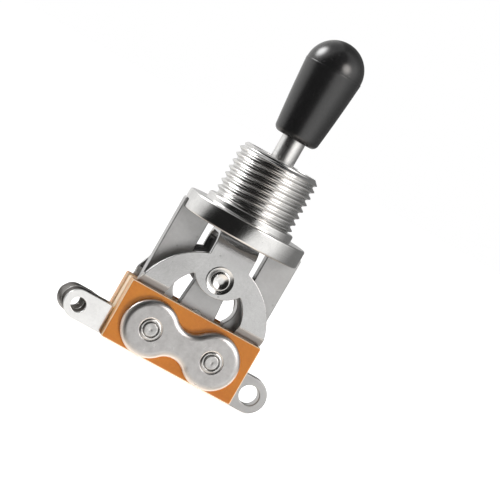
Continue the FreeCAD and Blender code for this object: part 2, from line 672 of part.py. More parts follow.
def make_stack_rivet(x):
    """Rivet through the whole stack; each end is flared into its sink, peened over and dimpled."""
    flare = RIVET_HEAD_DIAMETER / 2
    peen = (RIVET_RADIUS + flare) / 2
    peen_face = CLAMP_FACE + RIVET_PROUD
    return spindle([
        (RIVET_RADIUS, CLAMP_FACE - RIVET_SINK),
        (flare, CLAMP_FACE),
        (peen, CLAMP_FACE),
        (peen, peen_face),
        (RIVET_DIMPLE_RADIUS, peen_face),
        (0, peen_face - RIVET_DIMPLE_DEPTH),
    ], x, RIVET_Z)


def make_clamp_plate():
    """Figure-of-eight plate: two round lobes joined by hollow flanks, sunk for the rivets."""
    radius = CLAMP_LOBE_RADIUS
    half_span = RIVET_SPAN / 2
    neck = CLAMP_NECK / 2
    flank = (half_span ** 2 + neck ** 2 - radius ** 2) / (2 * (radius - neck))
    flank_z = neck + flank
    reach = radius + flank
    touch_x = half_span - radius * half_span / reach
    touch_z = radius * flank_z / reach
    upper_left = point(STACK_OFFSET - touch_x, RIVET_Z + touch_z)
    upper_right = point(STACK_OFFSET + touch_x, RIVET_Z + touch_z)
    lower_left = point(STACK_OFFSET - touch_x, RIVET_Z - touch_z)
    lower_right = point(STACK_OFFSET + touch_x, RIVET_Z - touch_z)
    plate = prism([
        arc(upper_left, point(STACK_OFFSET, RIVET_Z + neck), upper_right),
        arc(upper_right, point(RIVET_XS[1] + radius, RIVET_Z), lower_right),
        arc(lower_right, point(STACK_OFFSET, RIVET_Z - neck), lower_left),
        arc(lower_left, point(RIVET_XS[0] - radius, RIVET_Z), upper_left),
    ], -CLAMP_FACE, -CLAMP_Y)
    rim = [edge for edge in plate.Edges if abs(edge.BoundBox.YMax + CLAMP_FACE) < 1e-6]
    plate = plate.makeChamfer(CLAMP_CHAMFER, rim)
    for x in RIVET_XS:
        sink = Part.makeCone(RIVET_RADIUS, RIVET_HEAD_DIAMETER / 2, RIVET_SINK,
                             V(x, -CLAMP_FACE + RIVET_SINK, RIVET_Z), V(0, -1, 0))
        plate = plate.cut(disc(RIVET_RADIUS, x, RIVET_Z, -CLAMP_FACE - OVERCUT, -CLAMP_Y + OVERCUT)).cut(sink)
    return plate


def make_pieces():
    """Every piece by name."""
    button_face = MIDDLE_INSULATOR_Y + INSULATOR / 2
    pieces = {
        "bushing": make_bushing(),
        "frame_plate": make_frame_plate(),
        "bracket": make_bracket(),
        "knob": make_knob(),
        "lever_rod": make_lever_rod(),
        "fork_rivet": make_fork_rivet(),
        "lever_paddle": make_lever_paddle(),
        "actuator_cam": make_actuator_cam(),
        "pivot_pin": make_pivot_pin(),
        "left_rivet_sleeve": make_sleeve(RIVET_XS[0]),
        "right_rivet_sleeve": make_sleeve(RIVET_XS[1]),
        "left_stack_rivet": make_stack_rivet(RIVET_XS[0]),
        "right_stack_rivet": make_stack_rivet(RIVET_XS[1]),
    }
    paired = {
        "pivot_spacer": make_pivot_spacer(),
        "inner_insulator": make_inner_insulator(),
        "middle_insulator": make_middle_insulator(),
        "outer_insulator": make_outer_insulator(),
        "outer_plate": make_outer_plate(),
        "clamp_plate": make_clamp_plate(),
    }
    for name, solid in paired.items():
        pieces["front_" + name] = solid
        pieces["rear_" + name] = to_rear(solid)
    for end, side in (("front", 1), ("rear", -1)):
        pair = {
            "fixed_contact": make_fixed_contact(side),
            "spring_contact": make_spring_contact(side, end == "rear"),
            "fixed_button": make_button(MIDDLE_INSULATOR_Y, button_face, side),
            "spring_button": make_button(SPRING_CONTACT_Y, button_face, side),
        }
        for name, solid in pair.items():
            pieces[end + "_" + name] = solid if end == "front" else to_rear(solid)
    return pieces


os.makedirs("parts", exist_ok=True)
for name, solid in make_pieces().items():
    solid.exportStep("parts/" + name + ".step")
    print(name, len(solid.Solids), solid.isValid(), round(solid.Volume, 3))
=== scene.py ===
"""The looks of a guitar pickup selector switch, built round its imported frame.

Every piece is a numpy surface: a turned outline carried round an axis, or a flat blank with rounded
edges that a fold puts in place. Lengths inside the functions are in millimetres, in the frame's own
axes: +Z up the lever, -Y the front, +X the side of the ground lug.
"""

import math

import bpy
import bmesh
import numpy as np
from mathutils import Matrix, Vector
from mathutils.geometry import delaunay_2d_cdt


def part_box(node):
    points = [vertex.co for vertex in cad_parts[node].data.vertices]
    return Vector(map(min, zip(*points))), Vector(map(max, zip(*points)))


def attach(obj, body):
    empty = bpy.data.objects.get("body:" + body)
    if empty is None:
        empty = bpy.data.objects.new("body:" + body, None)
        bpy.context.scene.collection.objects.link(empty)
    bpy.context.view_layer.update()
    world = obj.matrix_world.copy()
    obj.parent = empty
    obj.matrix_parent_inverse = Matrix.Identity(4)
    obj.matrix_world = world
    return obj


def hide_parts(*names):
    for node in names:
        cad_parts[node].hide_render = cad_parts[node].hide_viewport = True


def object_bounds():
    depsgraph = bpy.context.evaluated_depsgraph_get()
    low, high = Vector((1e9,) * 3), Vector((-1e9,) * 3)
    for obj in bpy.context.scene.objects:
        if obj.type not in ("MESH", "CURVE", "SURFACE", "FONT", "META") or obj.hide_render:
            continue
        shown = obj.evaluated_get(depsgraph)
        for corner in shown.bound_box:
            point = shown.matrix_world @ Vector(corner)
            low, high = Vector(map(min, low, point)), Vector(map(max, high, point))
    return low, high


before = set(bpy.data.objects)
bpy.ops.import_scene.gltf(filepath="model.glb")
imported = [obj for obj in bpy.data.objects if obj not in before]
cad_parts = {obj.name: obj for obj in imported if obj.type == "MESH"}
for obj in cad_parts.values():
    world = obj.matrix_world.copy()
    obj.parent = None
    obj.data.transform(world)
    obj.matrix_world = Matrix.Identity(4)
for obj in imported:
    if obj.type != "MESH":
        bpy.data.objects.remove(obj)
CAD_BOX = [list(corner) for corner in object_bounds()]

bl_info = {
    "name": "Pickup Selector Switch",
    "version": (1, 0, 0),
    "blender": (4, 5, 0),
    "location": "View3D > Sidebar > Switch",
    "description": "Builds a three-way toggle switch with its threaded neck, bracket and contact stack",
    "category": "Mesh",
}

MM = 0.001
TENT_RADIUS = 0.6


def node_box(node):
    """Lowest and highest corner of a CAD node, in millimetres."""
    low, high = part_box(node)
    return np.array(low) / MM, np.array(high) / MM


def node_middle(node):
    """The middle of a CAD node's box, in millimetres."""
    low, high = node_box(node)
    return (low + high) / 2


def node_radius(node):
    """Half a round CAD node's width, in millimetres."""
    low, high = node_box(node)
    return (high[0] - low[0]) / 2


BUSHING_LOW, BUSHING_HIGH = node_box("bushing")
KNOB_LOW, KNOB_HIGH = node_box("knob")
PIN_HIGH = node_box("pivot_pin")[1]
FRAME_HIGH = node_box("frame_plate")[1]
BRACKET_LOW, BRACKET_HIGH = node_box("bracket")
PADDLE_LOW, PADDLE_HIGH = node_box("lever_paddle")
BLOCK_LOW, BLOCK_HIGH = node_box("front_outer_plate")
CLAMP_LOW, CLAMP_HIGH = node_box("front_clamp_plate")
RIVET_REACH = node_box("left_stack_rivet")[1][1]

PIVOT_Z = node_middle("pivot_pin")[2]
RIVET_Z = node_middle("left_stack_rivet")[2]
RIVET_XS = (node_middle("left_stack_rivet")[0], node_middle("right_stack_rivet")[0])
RIVET_HOLE = 1.1
SLEEVE_RADIUS = node_radius("left_rivet_sleeve")

ENDS = (("front", -1), ("rear", 1))

# The bracket's strip: its sheet, its bends, and half its length from the web's middle to level 0.
BRACKET_SHEET = 0.75
BEND_RADIUS = 2.2
BEND_BASE = BRACKET_HIGH[2] - BEND_RADIUS
WEB_HALF = -BRACKET_LOW[1] - BEND_RADIUS
STRIP_HALF = BEND_BASE + BEND_RADIUS * math.pi / 2 + WEB_HALF
JOGGLE_TOP, JOGGLE_RUN = -12.8, 1.2
FOOT_IN = 1.1
ARCH_RADIUS, ARCH_Z = 9.6, -15.3

# The contacts' clamped roots and the round ends of their lugs.
ROOT_TOP = -16.4
LUG_RADIUS, LUG_Z, LUG_HOLE = 2.025, -20.83, 1.05


def length(name, description, default):
    """A length that a user may change, in metres."""
    return bpy.props.FloatProperty(name=name, description=description, default=default, unit="LENGTH")


def colour(name, description, default):
    """A colour that a user may change."""
    return bpy.props.FloatVectorProperty(name=name, description=description, default=default,
                                         subtype="COLOR", size=3, min=0.0, max=1.0)


class SwitchNeck(bpy.types.PropertyGroup):
    """Sizes of the threaded neck and its flange."""
    thread_pitch: length("Thread pitch", "Distance from crest to crest", 0.001)
    thread_depth: length("Thread depth", "From crest to root", 0.00052)
    thread_diameter: length("Thread diameter", "Across the crests", 0.0118)
    lead_in: length("Lead-in", "Chamfer at the top of the thread", 0.0007)
    collar_diameter: length("Collar diameter", "Plain collar over the flange", 0.0128)
    collar_height: length("Collar height", "From the flange's face", 0.001)
    bore_radius: length("Bore radius", "Room for the lever to tilt", 0.00442)
    flange_round: length("Flange edge", "Radius of the flange's edges", 0.0003)


class SwitchTip(bpy.types.PropertyGroup):
    """Sizes of the moulded tip."""
    base_diameter: length("Base diameter", "Across the narrow end", 0.0065)
    base_round: length("Base edge", "Radius of the edge at the narrow end", 0.0009)
    seam_step: length("Seam step", "How far the dome stands back at its seam", 0.00007)


class SwitchSheets(bpy.types.PropertyGroup):
    """Edges of the sheet metal and of the stack."""
    stamped_edge: length("Stamped edge", "Radius of a stamped edge", 0.00009)
    corner: length("Corner", "Radius of a stamped corner", 0.00016)
    clamp_rim: length("Clamp rim", "Width of the rolled rim of the clamp plates", 0.00095)
    block_edge: length("Block edge", "Radius of the outer plates' edges", 0.00022)


class SwitchFinish(bpy.types.PropertyGroup):
    """Colours of the finishes."""
    bright_nickel: colour("Bright nickel", "Turned and polished metal", (0.78, 0.775, 0.765))
    sheet_nickel: colour("Sheet nickel", "Plated sheet", (0.52, 0.518, 0.516))
    satin_nickel: colour("Satin nickel", "Clamp plates and rivets", (0.56, 0.55, 0.545))
    tinned: colour("Tinned metal", "Contacts and their lugs", (0.97, 0.965, 0.955))
    phenolic: colour("Phenolic", "Outer plates of the stack", (0.62, 0.225, 0.022))
    laminate: colour("Laminate", "Thin insulators between the contacts", (0.88, 0.60, 0.36))
    silver: colour("Silver", "Contact buttons", (0.93, 0.92, 0.89))
    tip: colour("Tip", "Moulded tip of the lever", (0.0105, 0.0105, 0.0108))
    nylon: colour("Nylon", "Cam and sleeves", (0.82, 0.81, 0.77))


class SwitchStage(bpy.types.PropertyGroup):
    """Camera and lamps."""
    distance: length("Camera distance", "From the camera to its target", 0.354154)
    lens: bpy.props.FloatProperty(name="Lens", description="Focal length on a 36 mm sensor",
                                  default=190.057, unit="CAMERA")
    lamp_power: bpy.props.FloatProperty(name="Lamp power", description="What the lamps' shares refer to",
                                        default=0.6, unit="POWER")


# Flat outlines

def round_corners(corners, radius, steps=6):
    """A closed outline with each corner made an arc.

    The arc starts and ends radius * tan(half the turn) from the corner along both sides, and its
    centre lies on the line that halves the corner, radius / cos(half the turn) away.
    """
    corner = np.asarray(corners, float)
    size = np.broadcast_to(np.asarray(radius, float), len(corner))
    before = np.roll(corner, 1, 0) - corner
    after = np.roll(corner, -1, 0) - corner
    reach_before = np.linalg.norm(before, axis=1)
    reach_after = np.linalg.norm(after, axis=1)
    before /= reach_before[:, None]
    after /= reach_after[:, None]
    half_turn = (math.pi - np.arccos(np.clip((before * after).sum(1), -1, 1))) / 2
    tangent = np.tan(np.maximum(half_turn, 1e-4))
    cut = np.minimum(size * tangent, 0.49 * np.minimum(reach_before, reach_after))
    round_size = cut / tangent
    middle = before + after
    middle /= np.maximum(np.linalg.norm(middle, axis=1), 1e-9)[:, None]
    centre = corner + middle * (round_size / np.cos(half_turn))[:, None]
    start = corner + before * cut[:, None] - centre
    end = corner + after * cut[:, None] - centre
    first = np.arctan2(start[:, 1], start[:, 0])
    sweep = np.arctan2(end[:, 1], end[:, 0]) - first
    sweep = (sweep + math.pi) % (2 * math.pi) - math.pi
    angle = first[:, None] + sweep[:, None] * np.linspace(0, 1, steps)[None, :]
    arcs = centre[:, None, :] + round_size[:, None, None] * np.stack([np.cos(angle), np.sin(angle)], -1)
    least_turn = math.radians(6)
    plain = (half_turn < least_turn) | (cut < 1e-4)
    arcs[plain] = corner[plain][:, None, :]
    path = arcs.reshape(-1, 2)
    gap = np.linalg.norm(path - np.roll(path, 1, 0), axis=1)
    return path[gap > 1e-5]


def arc(centre, radius, start, end, count):
    """Points of a circle, evenly spaced between two angles in degrees."""
    angle = np.radians(np.linspace(start, end, count))
    return np.stack([centre[0] + radius * np.cos(angle), centre[1] + radius * np.sin(angle)], -1)


def circle(x, z, radius, count=48):
    """A closed circle."""
    return arc((x, z), radius, 0, 360 * (count - 1) / count, count)


def rivet_holes(radius, count):
    """The two holes of the stack's rivets."""
    return [circle(x, RIVET_Z, radius, count) for x in RIVET_XS]


def rectangle(x0, x1, z0, z1):
    """Four corners of a rectangle."""
    return np.array([(x0, z0), (x1, z0), (x1, z1), (x0, z1)], float)


def mirrored(right):
    """An outline from its right half: the same points with x changed in sign, in reverse order."""
    right = np.asarray(right, float)
    return np.concatenate([right, right[::-1] * (-1, 1)])


def subdivide(loop, step):
    """The outline with points added so that none of its runs is longer than step."""
    after = np.roll(loop, -1, 0)
    counts = np.maximum(np.ceil(np.linalg.norm(after - loop, axis=1) / step).astype(int), 1)
    index = np.repeat(np.arange(len(loop)), counts)
    first = np.repeat(np.cumsum(counts) - counts, counts)
    share = (np.arange(len(index)) - first) / counts[index]
    return loop[index] + (after[index] - loop[index]) * share[:, None]


def turned_way(loop, outwards):
    """The loop run against the clock where outwards is true, and with it for a hole."""
    x, z = loop.T
    area = (x * np.roll(z, -1) - np.roll(x, -1) * z).sum() / 2
    return loop if (area > 0) == outwards else loop[::-1]


def inside(points, loops):
    """Whether each point is inside the outline and outside the holes, from the edges that a ray crosses."""
    crossed = np.zeros(len(points), int)
    for loop in loops:
        after = np.roll(loop, -1, 0)
        above = (loop[None, :, 1] > points[:, None, 1]) != (after[None, :, 1] > points[:, None, 1])
        rise = np.where(after[:, 1] == loop[:, 1], 1e-12, after[:, 1] - loop[:, 1])
        at = loop[:, 0] + (points[:, None, 1] - loop[:, 1]) * (after[:, 0] - loop[:, 0]) / rise
        crossed += (above & (points[:, None, 0] < at)).sum(1)
    return crossed % 2 == 1


def point_rows(across, along):
    """Points in rows: each value across with each value along."""
    return np.stack(np.meshgrid(across, along), -1).reshape(-1, 2)


# Edges: rows of (inset, height, how far the surface leans outwards and up)

def edge_rows(thickness, back, front, front_depth=None, steps=5):
    """A sheet's edge: quarter of an ellipse at the back, a straight wall, and one at the front.

    At angle a the front quarter is inset by front * (1 - cos a) and stands at thickness - depth +
    depth * sin a.
    """
    front_depth = front if front_depth is None else front_depth
    angle = np.linspace(0, math.pi / 2, steps)

    def quarter(size, depth):
        lean = np.stack([np.cos(angle) / max(size, 1e-6), np.sin(angle) / max(depth, 1e-6)], -1)
        lean /= np.linalg.norm(lean, axis=1)[:, None]
        return np.column_stack([size * (1 - np.cos(angle)), depth * np.sin(angle), lean])

    low = quarter(back, back)[::-1] * (1, -1, 1, -1) + (0, back, 0, 0)
    high = quarter(front, front_depth) + (0, thickness - front_depth, 0, 0)
    return np.concatenate([low, high])


def sunk_rows(thickness, sink_width, sink_depth, edge=0.08):
    """A hole's edge with a cone-shaped sink at the front."""
    lean = np.array([sink_depth, sink_width]) / math.hypot(sink_depth, sink_width)
    return np.array([
        (edge, 0, 0, -1),
        (0, edge, 1, 0),
        (0, thickness - sink_depth, 1, 0),
        (0, thickness - sink_depth, lean[0], lean[1]),
        (sink_width, thickness, lean[0], lean[1]),
        (sink_width + edge, thickness, 0, 1),
    ])


# From blanks to meshes

def cap_faces(rings, flat, extra, low):
    """Triangles that close a blank between the last rings of its edges, with extra points inside."""
    loops = [flat[ring] for ring in rings]
    points = np.concatenate([*loops, extra])
    ids = np.concatenate(list(rings) + [np.arange(low, low + len(extra))])
    starts = np.cumsum([0] + [len(ring) for ring in rings])
    edges = []
    for start, ring in zip(starts, rings):
        here = start + np.arange(len(ring))
        edges += np.column_stack([here, np.roll(here, -1)]).tolist()
    made = delaunay_2d_cdt([Vector(point) for point in points], edges, [], 0, 1e-7)
    if any(not origin for origin in made[3]):
        raise RuntimeError("a blank's outline crosses itself")
    origin = np.array([origin[0] for origin in made[3]])
    faces = origin[np.array(made[2])]
    keep = inside(points[faces].mean(1), loops)
    return ids[faces[keep]]


def blank(loops, edges, rows=None):
    """A flat sheet as points (u, v, height), their normals and faces.

    Each loop is drawn once per row of its edge, moved into the sheet by the row's inset along the
    loop's normal. The normal at a point is at right angles to the line between its neighbours. One
    edge may serve all loops. Rows are extra points for both faces, where a fold needs them.
    """
    if isinstance(edges, np.ndarray):
        edges = [edges] * len(loops)
    points, normals, faces, back, front = [], [], [], [], []
    base = 0
    least_gap = 0.12
    for number, (loop, edge) in enumerate(zip(loops, edges)):
        loop = turned_way(np.asarray(loop, float), number == 0)
        along = np.roll(loop, -1, 0) - np.roll(loop, 1, 0)
        along /= np.linalg.norm(along, axis=1)[:, None]
        out = np.column_stack([along[:, 1], -along[:, 0]])
        count = len(loop)
        for inset, height, lean_out, lean_up in edge:
            points.append(np.column_stack([loop - out * inset, np.full(count, height)]))
            normals.append(np.column_stack([out * lean_out, np.full(count, lean_up)]))
        here = base + np.arange(count)
        after = np.roll(here, -1)
        for row in range(len(edge) - 1):
            step = row * count
            faces.append(np.column_stack([here, after, after + count, here + count]) + step)
        back.append(here)
        front.append(here + (len(edge) - 1) * count)
        base += count * len(edge)
    flat = np.concatenate(points)[:, :2]
    heights = (points[0][0, 2], points[len(edges[0]) - 1][0, 2])
    triangles = []
    for rings, height, side in ((back, heights[0], -1), (front, heights[1], 1)):
        extra = np.zeros((0, 2))
        if rows is not None:
            rims = [flat[ring] for ring in rings]
            extra = rows[inside(rows, rims)]
            gap = np.linalg.norm(extra[:, None] - np.concatenate(rims)[None], axis=2).min(1)
            extra = extra[gap > least_gap]
        cap = cap_faces(rings, flat, extra, base)
        points.append(np.column_stack([extra, np.full(len(extra), height)]))
        normals.append(np.tile((0.0, 0.0, float(side)), (len(extra), 1)))
        base += len(extra)
        triangles.append(cap if side > 0 else cap[:, ::-1])
    return np.concatenate(points), np.concatenate(normals), [*faces, *triangles]


def flat_place(y_inside, side):
    """Stands a blank upright: u along X, v along Z, height outwards from y_inside on the given side."""
    def place(points, normals):
        u, v, height = points.T
        nu, nv, nh = normals.T
        return (np.column_stack([u, side * (y_inside + height), v]), np.column_stack([nu, side * nh, nv]))
    return place


def smooth_step(value):
    """3 t squared minus 2 t cubed, with t held between 0 and 1."""
    share = np.clip(value, 0, 1)
    return share * share * (3 - 2 * share)


def weld(mesh, gap=1e-7):
    """Merges the points of a mesh that lie on one another and drops faces with no area."""
    work = bmesh.new()
    work.from_mesh(mesh)
    bmesh.ops.remove_doubles(work, verts=work.verts, dist=gap)
    bmesh.ops.dissolve_degenerate(work, edges=work.edges, dist=gap)
    bmesh.ops.recalc_face_normals(work, faces=work.faces)
    work.to_mesh(mesh)
    work.free()


def new_mesh(name, points, faces, material):
    """A smooth mesh in metres with its material."""
    mesh = bpy.data.meshes.new(name)
    mesh.from_pydata(points.tolist(), [], faces)
    mesh.polygons.foreach_set("use_smooth", np.ones(len(mesh.polygons), bool))
    mesh.materials.append(material)
    return mesh


def new_object(name, data):
    """An object in the scene."""
    made = bpy.data.objects.new(name, data)
    bpy.context.scene.collection.objects.link(made)
    return made


def piece(name, points, faces, look, body, nodes, normals=None, sharp=None):
    """Puts a mesh in millimetres into the scene as one piece of a body, in place of its CAD nodes.

    The faces are turned outwards: the volume that they enclose, a sixth of the sum of a . (b x c),
    has to be above nought. Where sharp is given, the mesh is welded, and edges over that angle in
    degrees stay sharp.
    """
    arrays = [np.asarray(face) for face in faces]
    volume = 0.0
    for face in arrays:
        for corner in range(1, face.shape[1] - 1):
            a, b, c = points[face[:, 0]], points[face[:, corner]], points[face[:, corner + 1]]
            volume += np.einsum("ij,ij->i", a, np.cross(b, c)).sum()
    if volume < 0:
        arrays = [face[:, ::-1] for face in arrays]
    mesh = new_mesh(name, points * MM, [row for face in arrays for row in face.tolist()], finish(look))
    if normals is not None:
        unit = normals / np.maximum(np.linalg.norm(normals, axis=1), 1e-9)[:, None]
        mesh.normals_split_custom_set_from_vertices(unit.tolist())
    if sharp is not None:
        weld(mesh)
        mesh.set_sharp_from_angle(angle=math.radians(sharp))
    made = new_object(name, mesh)
    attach(made, body)
    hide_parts(*nodes)


def sheet_piece(name, loops, edges, place, look, node, body="switch_body", rows=None):
    """A sheet: its blank is made flat and then put in place by a fold."""
    points, normals, faces = blank(loops, edges, rows)
    points, normals = place(points, normals)
    piece(name, points, faces, look, body, [node], normals)


def turned(outline, count, centre=(0, 0, 0), axis="Z"):
    """A turned surface: at angle a each (radius, height) pair gives (radius cos a, radius sin a, height).

    Where the axis is Y, the last two change places.
    """
    radius, height = np.asarray(outline, float).T
    angle = np.linspace(0, 2 * math.pi, count, endpoint=False)
    flat = radius[:, None, None] * np.stack([np.cos(angle), np.sin(angle)], -1)[None]
    ring = np.concatenate([flat, np.broadcast_to(height[:, None, None], flat.shape[:2] + (1,))], -1)
    points = ring.reshape(-1, 3)
    index = np.arange(len(points)).reshape(-1, count)
    rows, above = index[:-1], index[1:]
    faces = np.stack([rows, np.roll(rows, -1, 1), np.roll(above, -1, 1), above], -1).reshape(-1, 4)
    if axis == "Y":
        points = points[:, [0, 2, 1]]
    return points + centre, faces


# Material helpers

def empty_tree(owner):
    """The emptied node tree of a material or a world."""
    owner.use_nodes = True
    owner.node_tree.nodes.clear()
    return owner.node_tree


def add(tree, kind, inputs=None, **values):
    """One shader node, with values or links for its sockets."""
    made = tree.nodes.new(kind)
    for key, value in values.items():
        setattr(made, key, value)
    for socket, value in (inputs or {}).items():
        if isinstance(value, bpy.types.NodeSocket):
            tree.links.new(value, made.inputs[socket])
        else:
            made.inputs[socket].default_value = value
    return made


def math_of(tree, operation, first, second=0.0, clamp=False):
    """One sum of two values, or of the first alone."""
    return add(tree, "ShaderNodeMath", {0: first, 1: second}, operation=operation, use_clamp=clamp).outputs[0]


def times(tree, first, second):
    """Two values multiplied."""
    return math_of(tree, "MULTIPLY", first, second)


def mix_colours(tree, share, first, second):
    """A colour between two."""
    made = add(tree, "ShaderNodeMix", {"Factor": share}, data_type="RGBA")
    for socket, value in ((made.inputs[6], first), (made.inputs[7], second)):
        if isinstance(value, bpy.types.NodeSocket):
            tree.links.new(value, socket)
        else:
            socket.default_value = (*value, 1.0)
    return made.outputs[2]


def spread(tree, value, low, high, to_low=0.0, to_high=1.0):
    """A value moved from one range to another and held there."""
    return add(tree, "ShaderNodeMapRange", {0: value, 1: low, 2: high, 3: to_low, 4: to_high}).outputs[0]


def object_place(tree):
    """The place on the piece."""
    return add(tree, "ShaderNodeTexCoord").outputs["Object"]


def parts_of(tree, vector):
    """The three parts of a vector."""
    return add(tree, "ShaderNodeSeparateXYZ", {0: vector}).outputs


def facing(tree):
    """The three parts of the surface's normal."""
    return parts_of(tree, add(tree, "ShaderNodeNewGeometry").outputs["Normal"])


def noise(tree, place, scale, detail, roughness=0.5):
    """Noise as one value."""
    return add(tree, "ShaderNodeTexNoise", {"Vector": place, "Scale": scale, "Detail": detail,
                                            "Roughness": roughness}).outputs[0]


def streaks(tree, scales, detail):
    """Noise with a scale of its own along each axis."""
    place = parts_of(tree, object_place(tree))
    stretched = add(tree, "ShaderNodeCombineXYZ", {
        axis: times(tree, place[axis], scale) for axis, scale in enumerate(scales)}).outputs[0]
    return noise(tree, stretched, 1.0, detail)


def effect_group(name, inputs, outputs):
    """An empty node group of plain values, with its sockets, its input node and its output node."""
    tree = bpy.data.node_groups.new(name, "ShaderNodeTree")
    for label, default in inputs.items():
        socket = tree.interface.new_socket(label, in_out="INPUT", socket_type="NodeSocketFloat")
        socket.default_value = default
    for label in outputs:
        tree.interface.new_socket(label, in_out="OUTPUT", socket_type="NodeSocketFloat")
    return tree, add(tree, "NodeGroupInput").outputs, add(tree, "NodeGroupOutput").inputs


def grain_group():
    """Fine grain over soft clouds: two noises at the scales given, as one height and one shade."""
    tree, given, result = effect_group(
        "Plated Grain", {"Grain Scale": 3000.0, "Cloud Scale": 300.0}, ["Height", "Shade"])
    place = object_place(tree)
    grain = noise(tree, place, given["Grain Scale"], 4.0, 0.65)
    cloud = noise(tree, place, given["Cloud Scale"], 3.0, 0.55)
    both = math_of(tree, "ADD", times(tree, grain, 0.35), times(tree, cloud, 0.65))
    tree.links.new(grain, result["Height"])
    tree.links.new(spread(tree, both, 0.32, 0.68), result["Shade"])


def speck_group():
    """Sparse round specks: near the centres of a few cells of a cell pattern."""
    tree, given, result = effect_group(
        "Small Specks", {"Speck Scale": 1500.0, "Speck Size": 0.2, "Share": 0.2}, ["Mask"])
    cells = add(tree, "ShaderNodeTexVoronoi", {"Vector": object_place(tree),
                                               "Scale": given["Speck Scale"]}).outputs
    near = math_of(tree, "LESS_THAN", cells["Distance"], given["Speck Size"])
    drawn = add(tree, "ShaderNodeSeparateColor", {0: cells["Color"]}).outputs[0]
    chosen = math_of(tree, "LESS_THAN", drawn, given["Share"])
    tree.links.new(times(tree, near, chosen), result["Mask"])


def turning_group():
    """Lines left by a turning tool: noise that changes quickly along Z and slowly round the axis."""
    tree, given, result = effect_group(
        "Turning Lines", {"Line Scale": 6000.0, "Round Scale": 150.0}, ["Height"])
    scales = (given["Round Scale"], given["Round Scale"], given["Line Scale"])
    tree.links.new(streaks(tree, scales, 3.0), result["Height"])


def layer_group():
    """Pressed layers seen at a cut edge: noise that changes quickly along Y and slowly along the others."""
    tree, given, result = effect_group(
        "Pressed Layers", {"Layer Scale": 4500.0, "Run Scale": 260.0}, ["Shade"])
    scales = (given["Run Scale"], given["Layer Scale"], given["Run Scale"])
    tree.links.new(spread(tree, streaks(tree, scales, 2.0), 0.35, 0.65), result["Shade"])


def edge_group():
    """Cut edges: one where the surface faces across the sheet, nought on its two faces."""
    tree, given, result = effect_group("Cut Edges", {"Face Limit": 0.92, "Edge Limit": 0.45}, ["Mask"])
    across = math_of(tree, "ABSOLUTE", facing(tree)[1])
    tree.links.new(spread(tree, across, given["Face Limit"], given["Edge Limit"]), result["Mask"])


def placed(tree, group, **values):
    """A node group set into a material with its own values; underscores in names stand for spaces."""
    made = add(tree, "ShaderNodeGroup", node_tree=bpy.data.node_groups[group])
    for key, value in values.items():
        made.inputs[key.replace("_", " ")].default_value = value
    return made.outputs


def new_material(name):
    """An empty material with its output and a Principled shader."""
    material = bpy.data.materials.new(name)
    tree = empty_tree(material)
    shader = add(tree, "ShaderNodeBsdfPrincipled")
    output = add(tree, "ShaderNodeOutputMaterial", {0: shader.outputs[0]})
    return material, tree, shader, output


def shaded(rgb, factor):
    """A colour made lighter or darker."""
    return tuple(min(1.0, part * factor) for part in rgb)


def bump(tree, height, distance, under=None):
    """A bump of a real height in millimetres."""
    inputs = {"Height": height, "Distance": distance * MM, "Strength": 1.0}
    if under is not None:
        inputs["Normal"] = under
    return add(tree, "ShaderNodeBump", inputs).outputs[0]


def wire(tree, shader, base, shade, rough, surface):
    """Gives a shader its colour, its surface, and its roughness: from the second value down to the first."""
    tree.links.new(base, shader.inputs["Base Color"])
    tree.links.new(spread(tree, shade, 0.0, 1.0, rough[1], rough[0]), shader.inputs["Roughness"])
    tree.links.new(surface, shader.inputs["Normal"])


# Places on a piece where the finishes paint light or shade: one there, nought elsewhere

def cut_edges(tree):
    """The cut edges of a sheet that stands upright."""
    return placed(tree, "Cut Edges", Face_Limit=0.60, Edge_Limit=0.35)["Mask"]


def painted_shade_below(tree):
    """Faces that look down, where shade is painted."""
    return spread(tree, facing(tree)[2], -0.80, -0.95)


def painted_shade_inward(tree):
    """Faces that look towards the middle plane, where y times the normal's y is under nought; shade is
    painted there.
    """
    outwards = times(tree, facing(tree)[1], parts_of(tree, object_place(tree))[1])
    return spread(tree, outwards, -0.3 * MM, -0.8 * MM)


def painted_highlight_lower_rim(tree):
    """A rolled rim, but for the part that looks up; a highlight is painted there."""
    normal = facing(tree)
    tilted = spread(tree, math_of(tree, "ABSOLUTE", normal[1]), 0.97, 0.75)
    return times(tree, tilted, spread(tree, normal[2], 0.30, -0.10))


def painted_shade_arch_edges(tree):
    """The cut edges within the arch, by the distance from its centre in the plane of the sheet; shade is
    painted there.
    """
    within = 8.9 * MM
    centred = add(tree, "ShaderNodeMapping", {"Vector": object_place(tree), "Location": (0, 0, -ARCH_Z * MM),
                                              "Scale": (1, 0, 1)}).outputs[0]
    reach = add(tree, "ShaderNodeVectorMath", {0: centred}, operation="LENGTH").outputs["Value"]
    return times(tree, cut_edges(tree), math_of(tree, "LESS_THAN", reach, within))


def painted_shade_feet(tree):
    """The bracket's feet, from the joggle down, where a darker, duller grey is painted in place of the
    reflection they would show.
    """
    start, end = -12.75 * MM, -13.0 * MM
    return spread(tree, parts_of(tree, object_place(tree))[2], start, end)


def painted_reflection_stack_edges(tree):
    """The frame plate's cut edges down in the stack, but not the ground lug's, where a warm reflection is
    painted.
    """
    stack_top, lug_start = -14.2 * MM, 9.7 * MM
    place = parts_of(tree, object_place(tree))
    below = math_of(tree, "LESS_THAN", place[2], stack_top)
    within = math_of(tree, "LESS_THAN", place[0], lug_start)
    return times(tree, cut_edges(tree), times(tree, below, within))


# Finishes

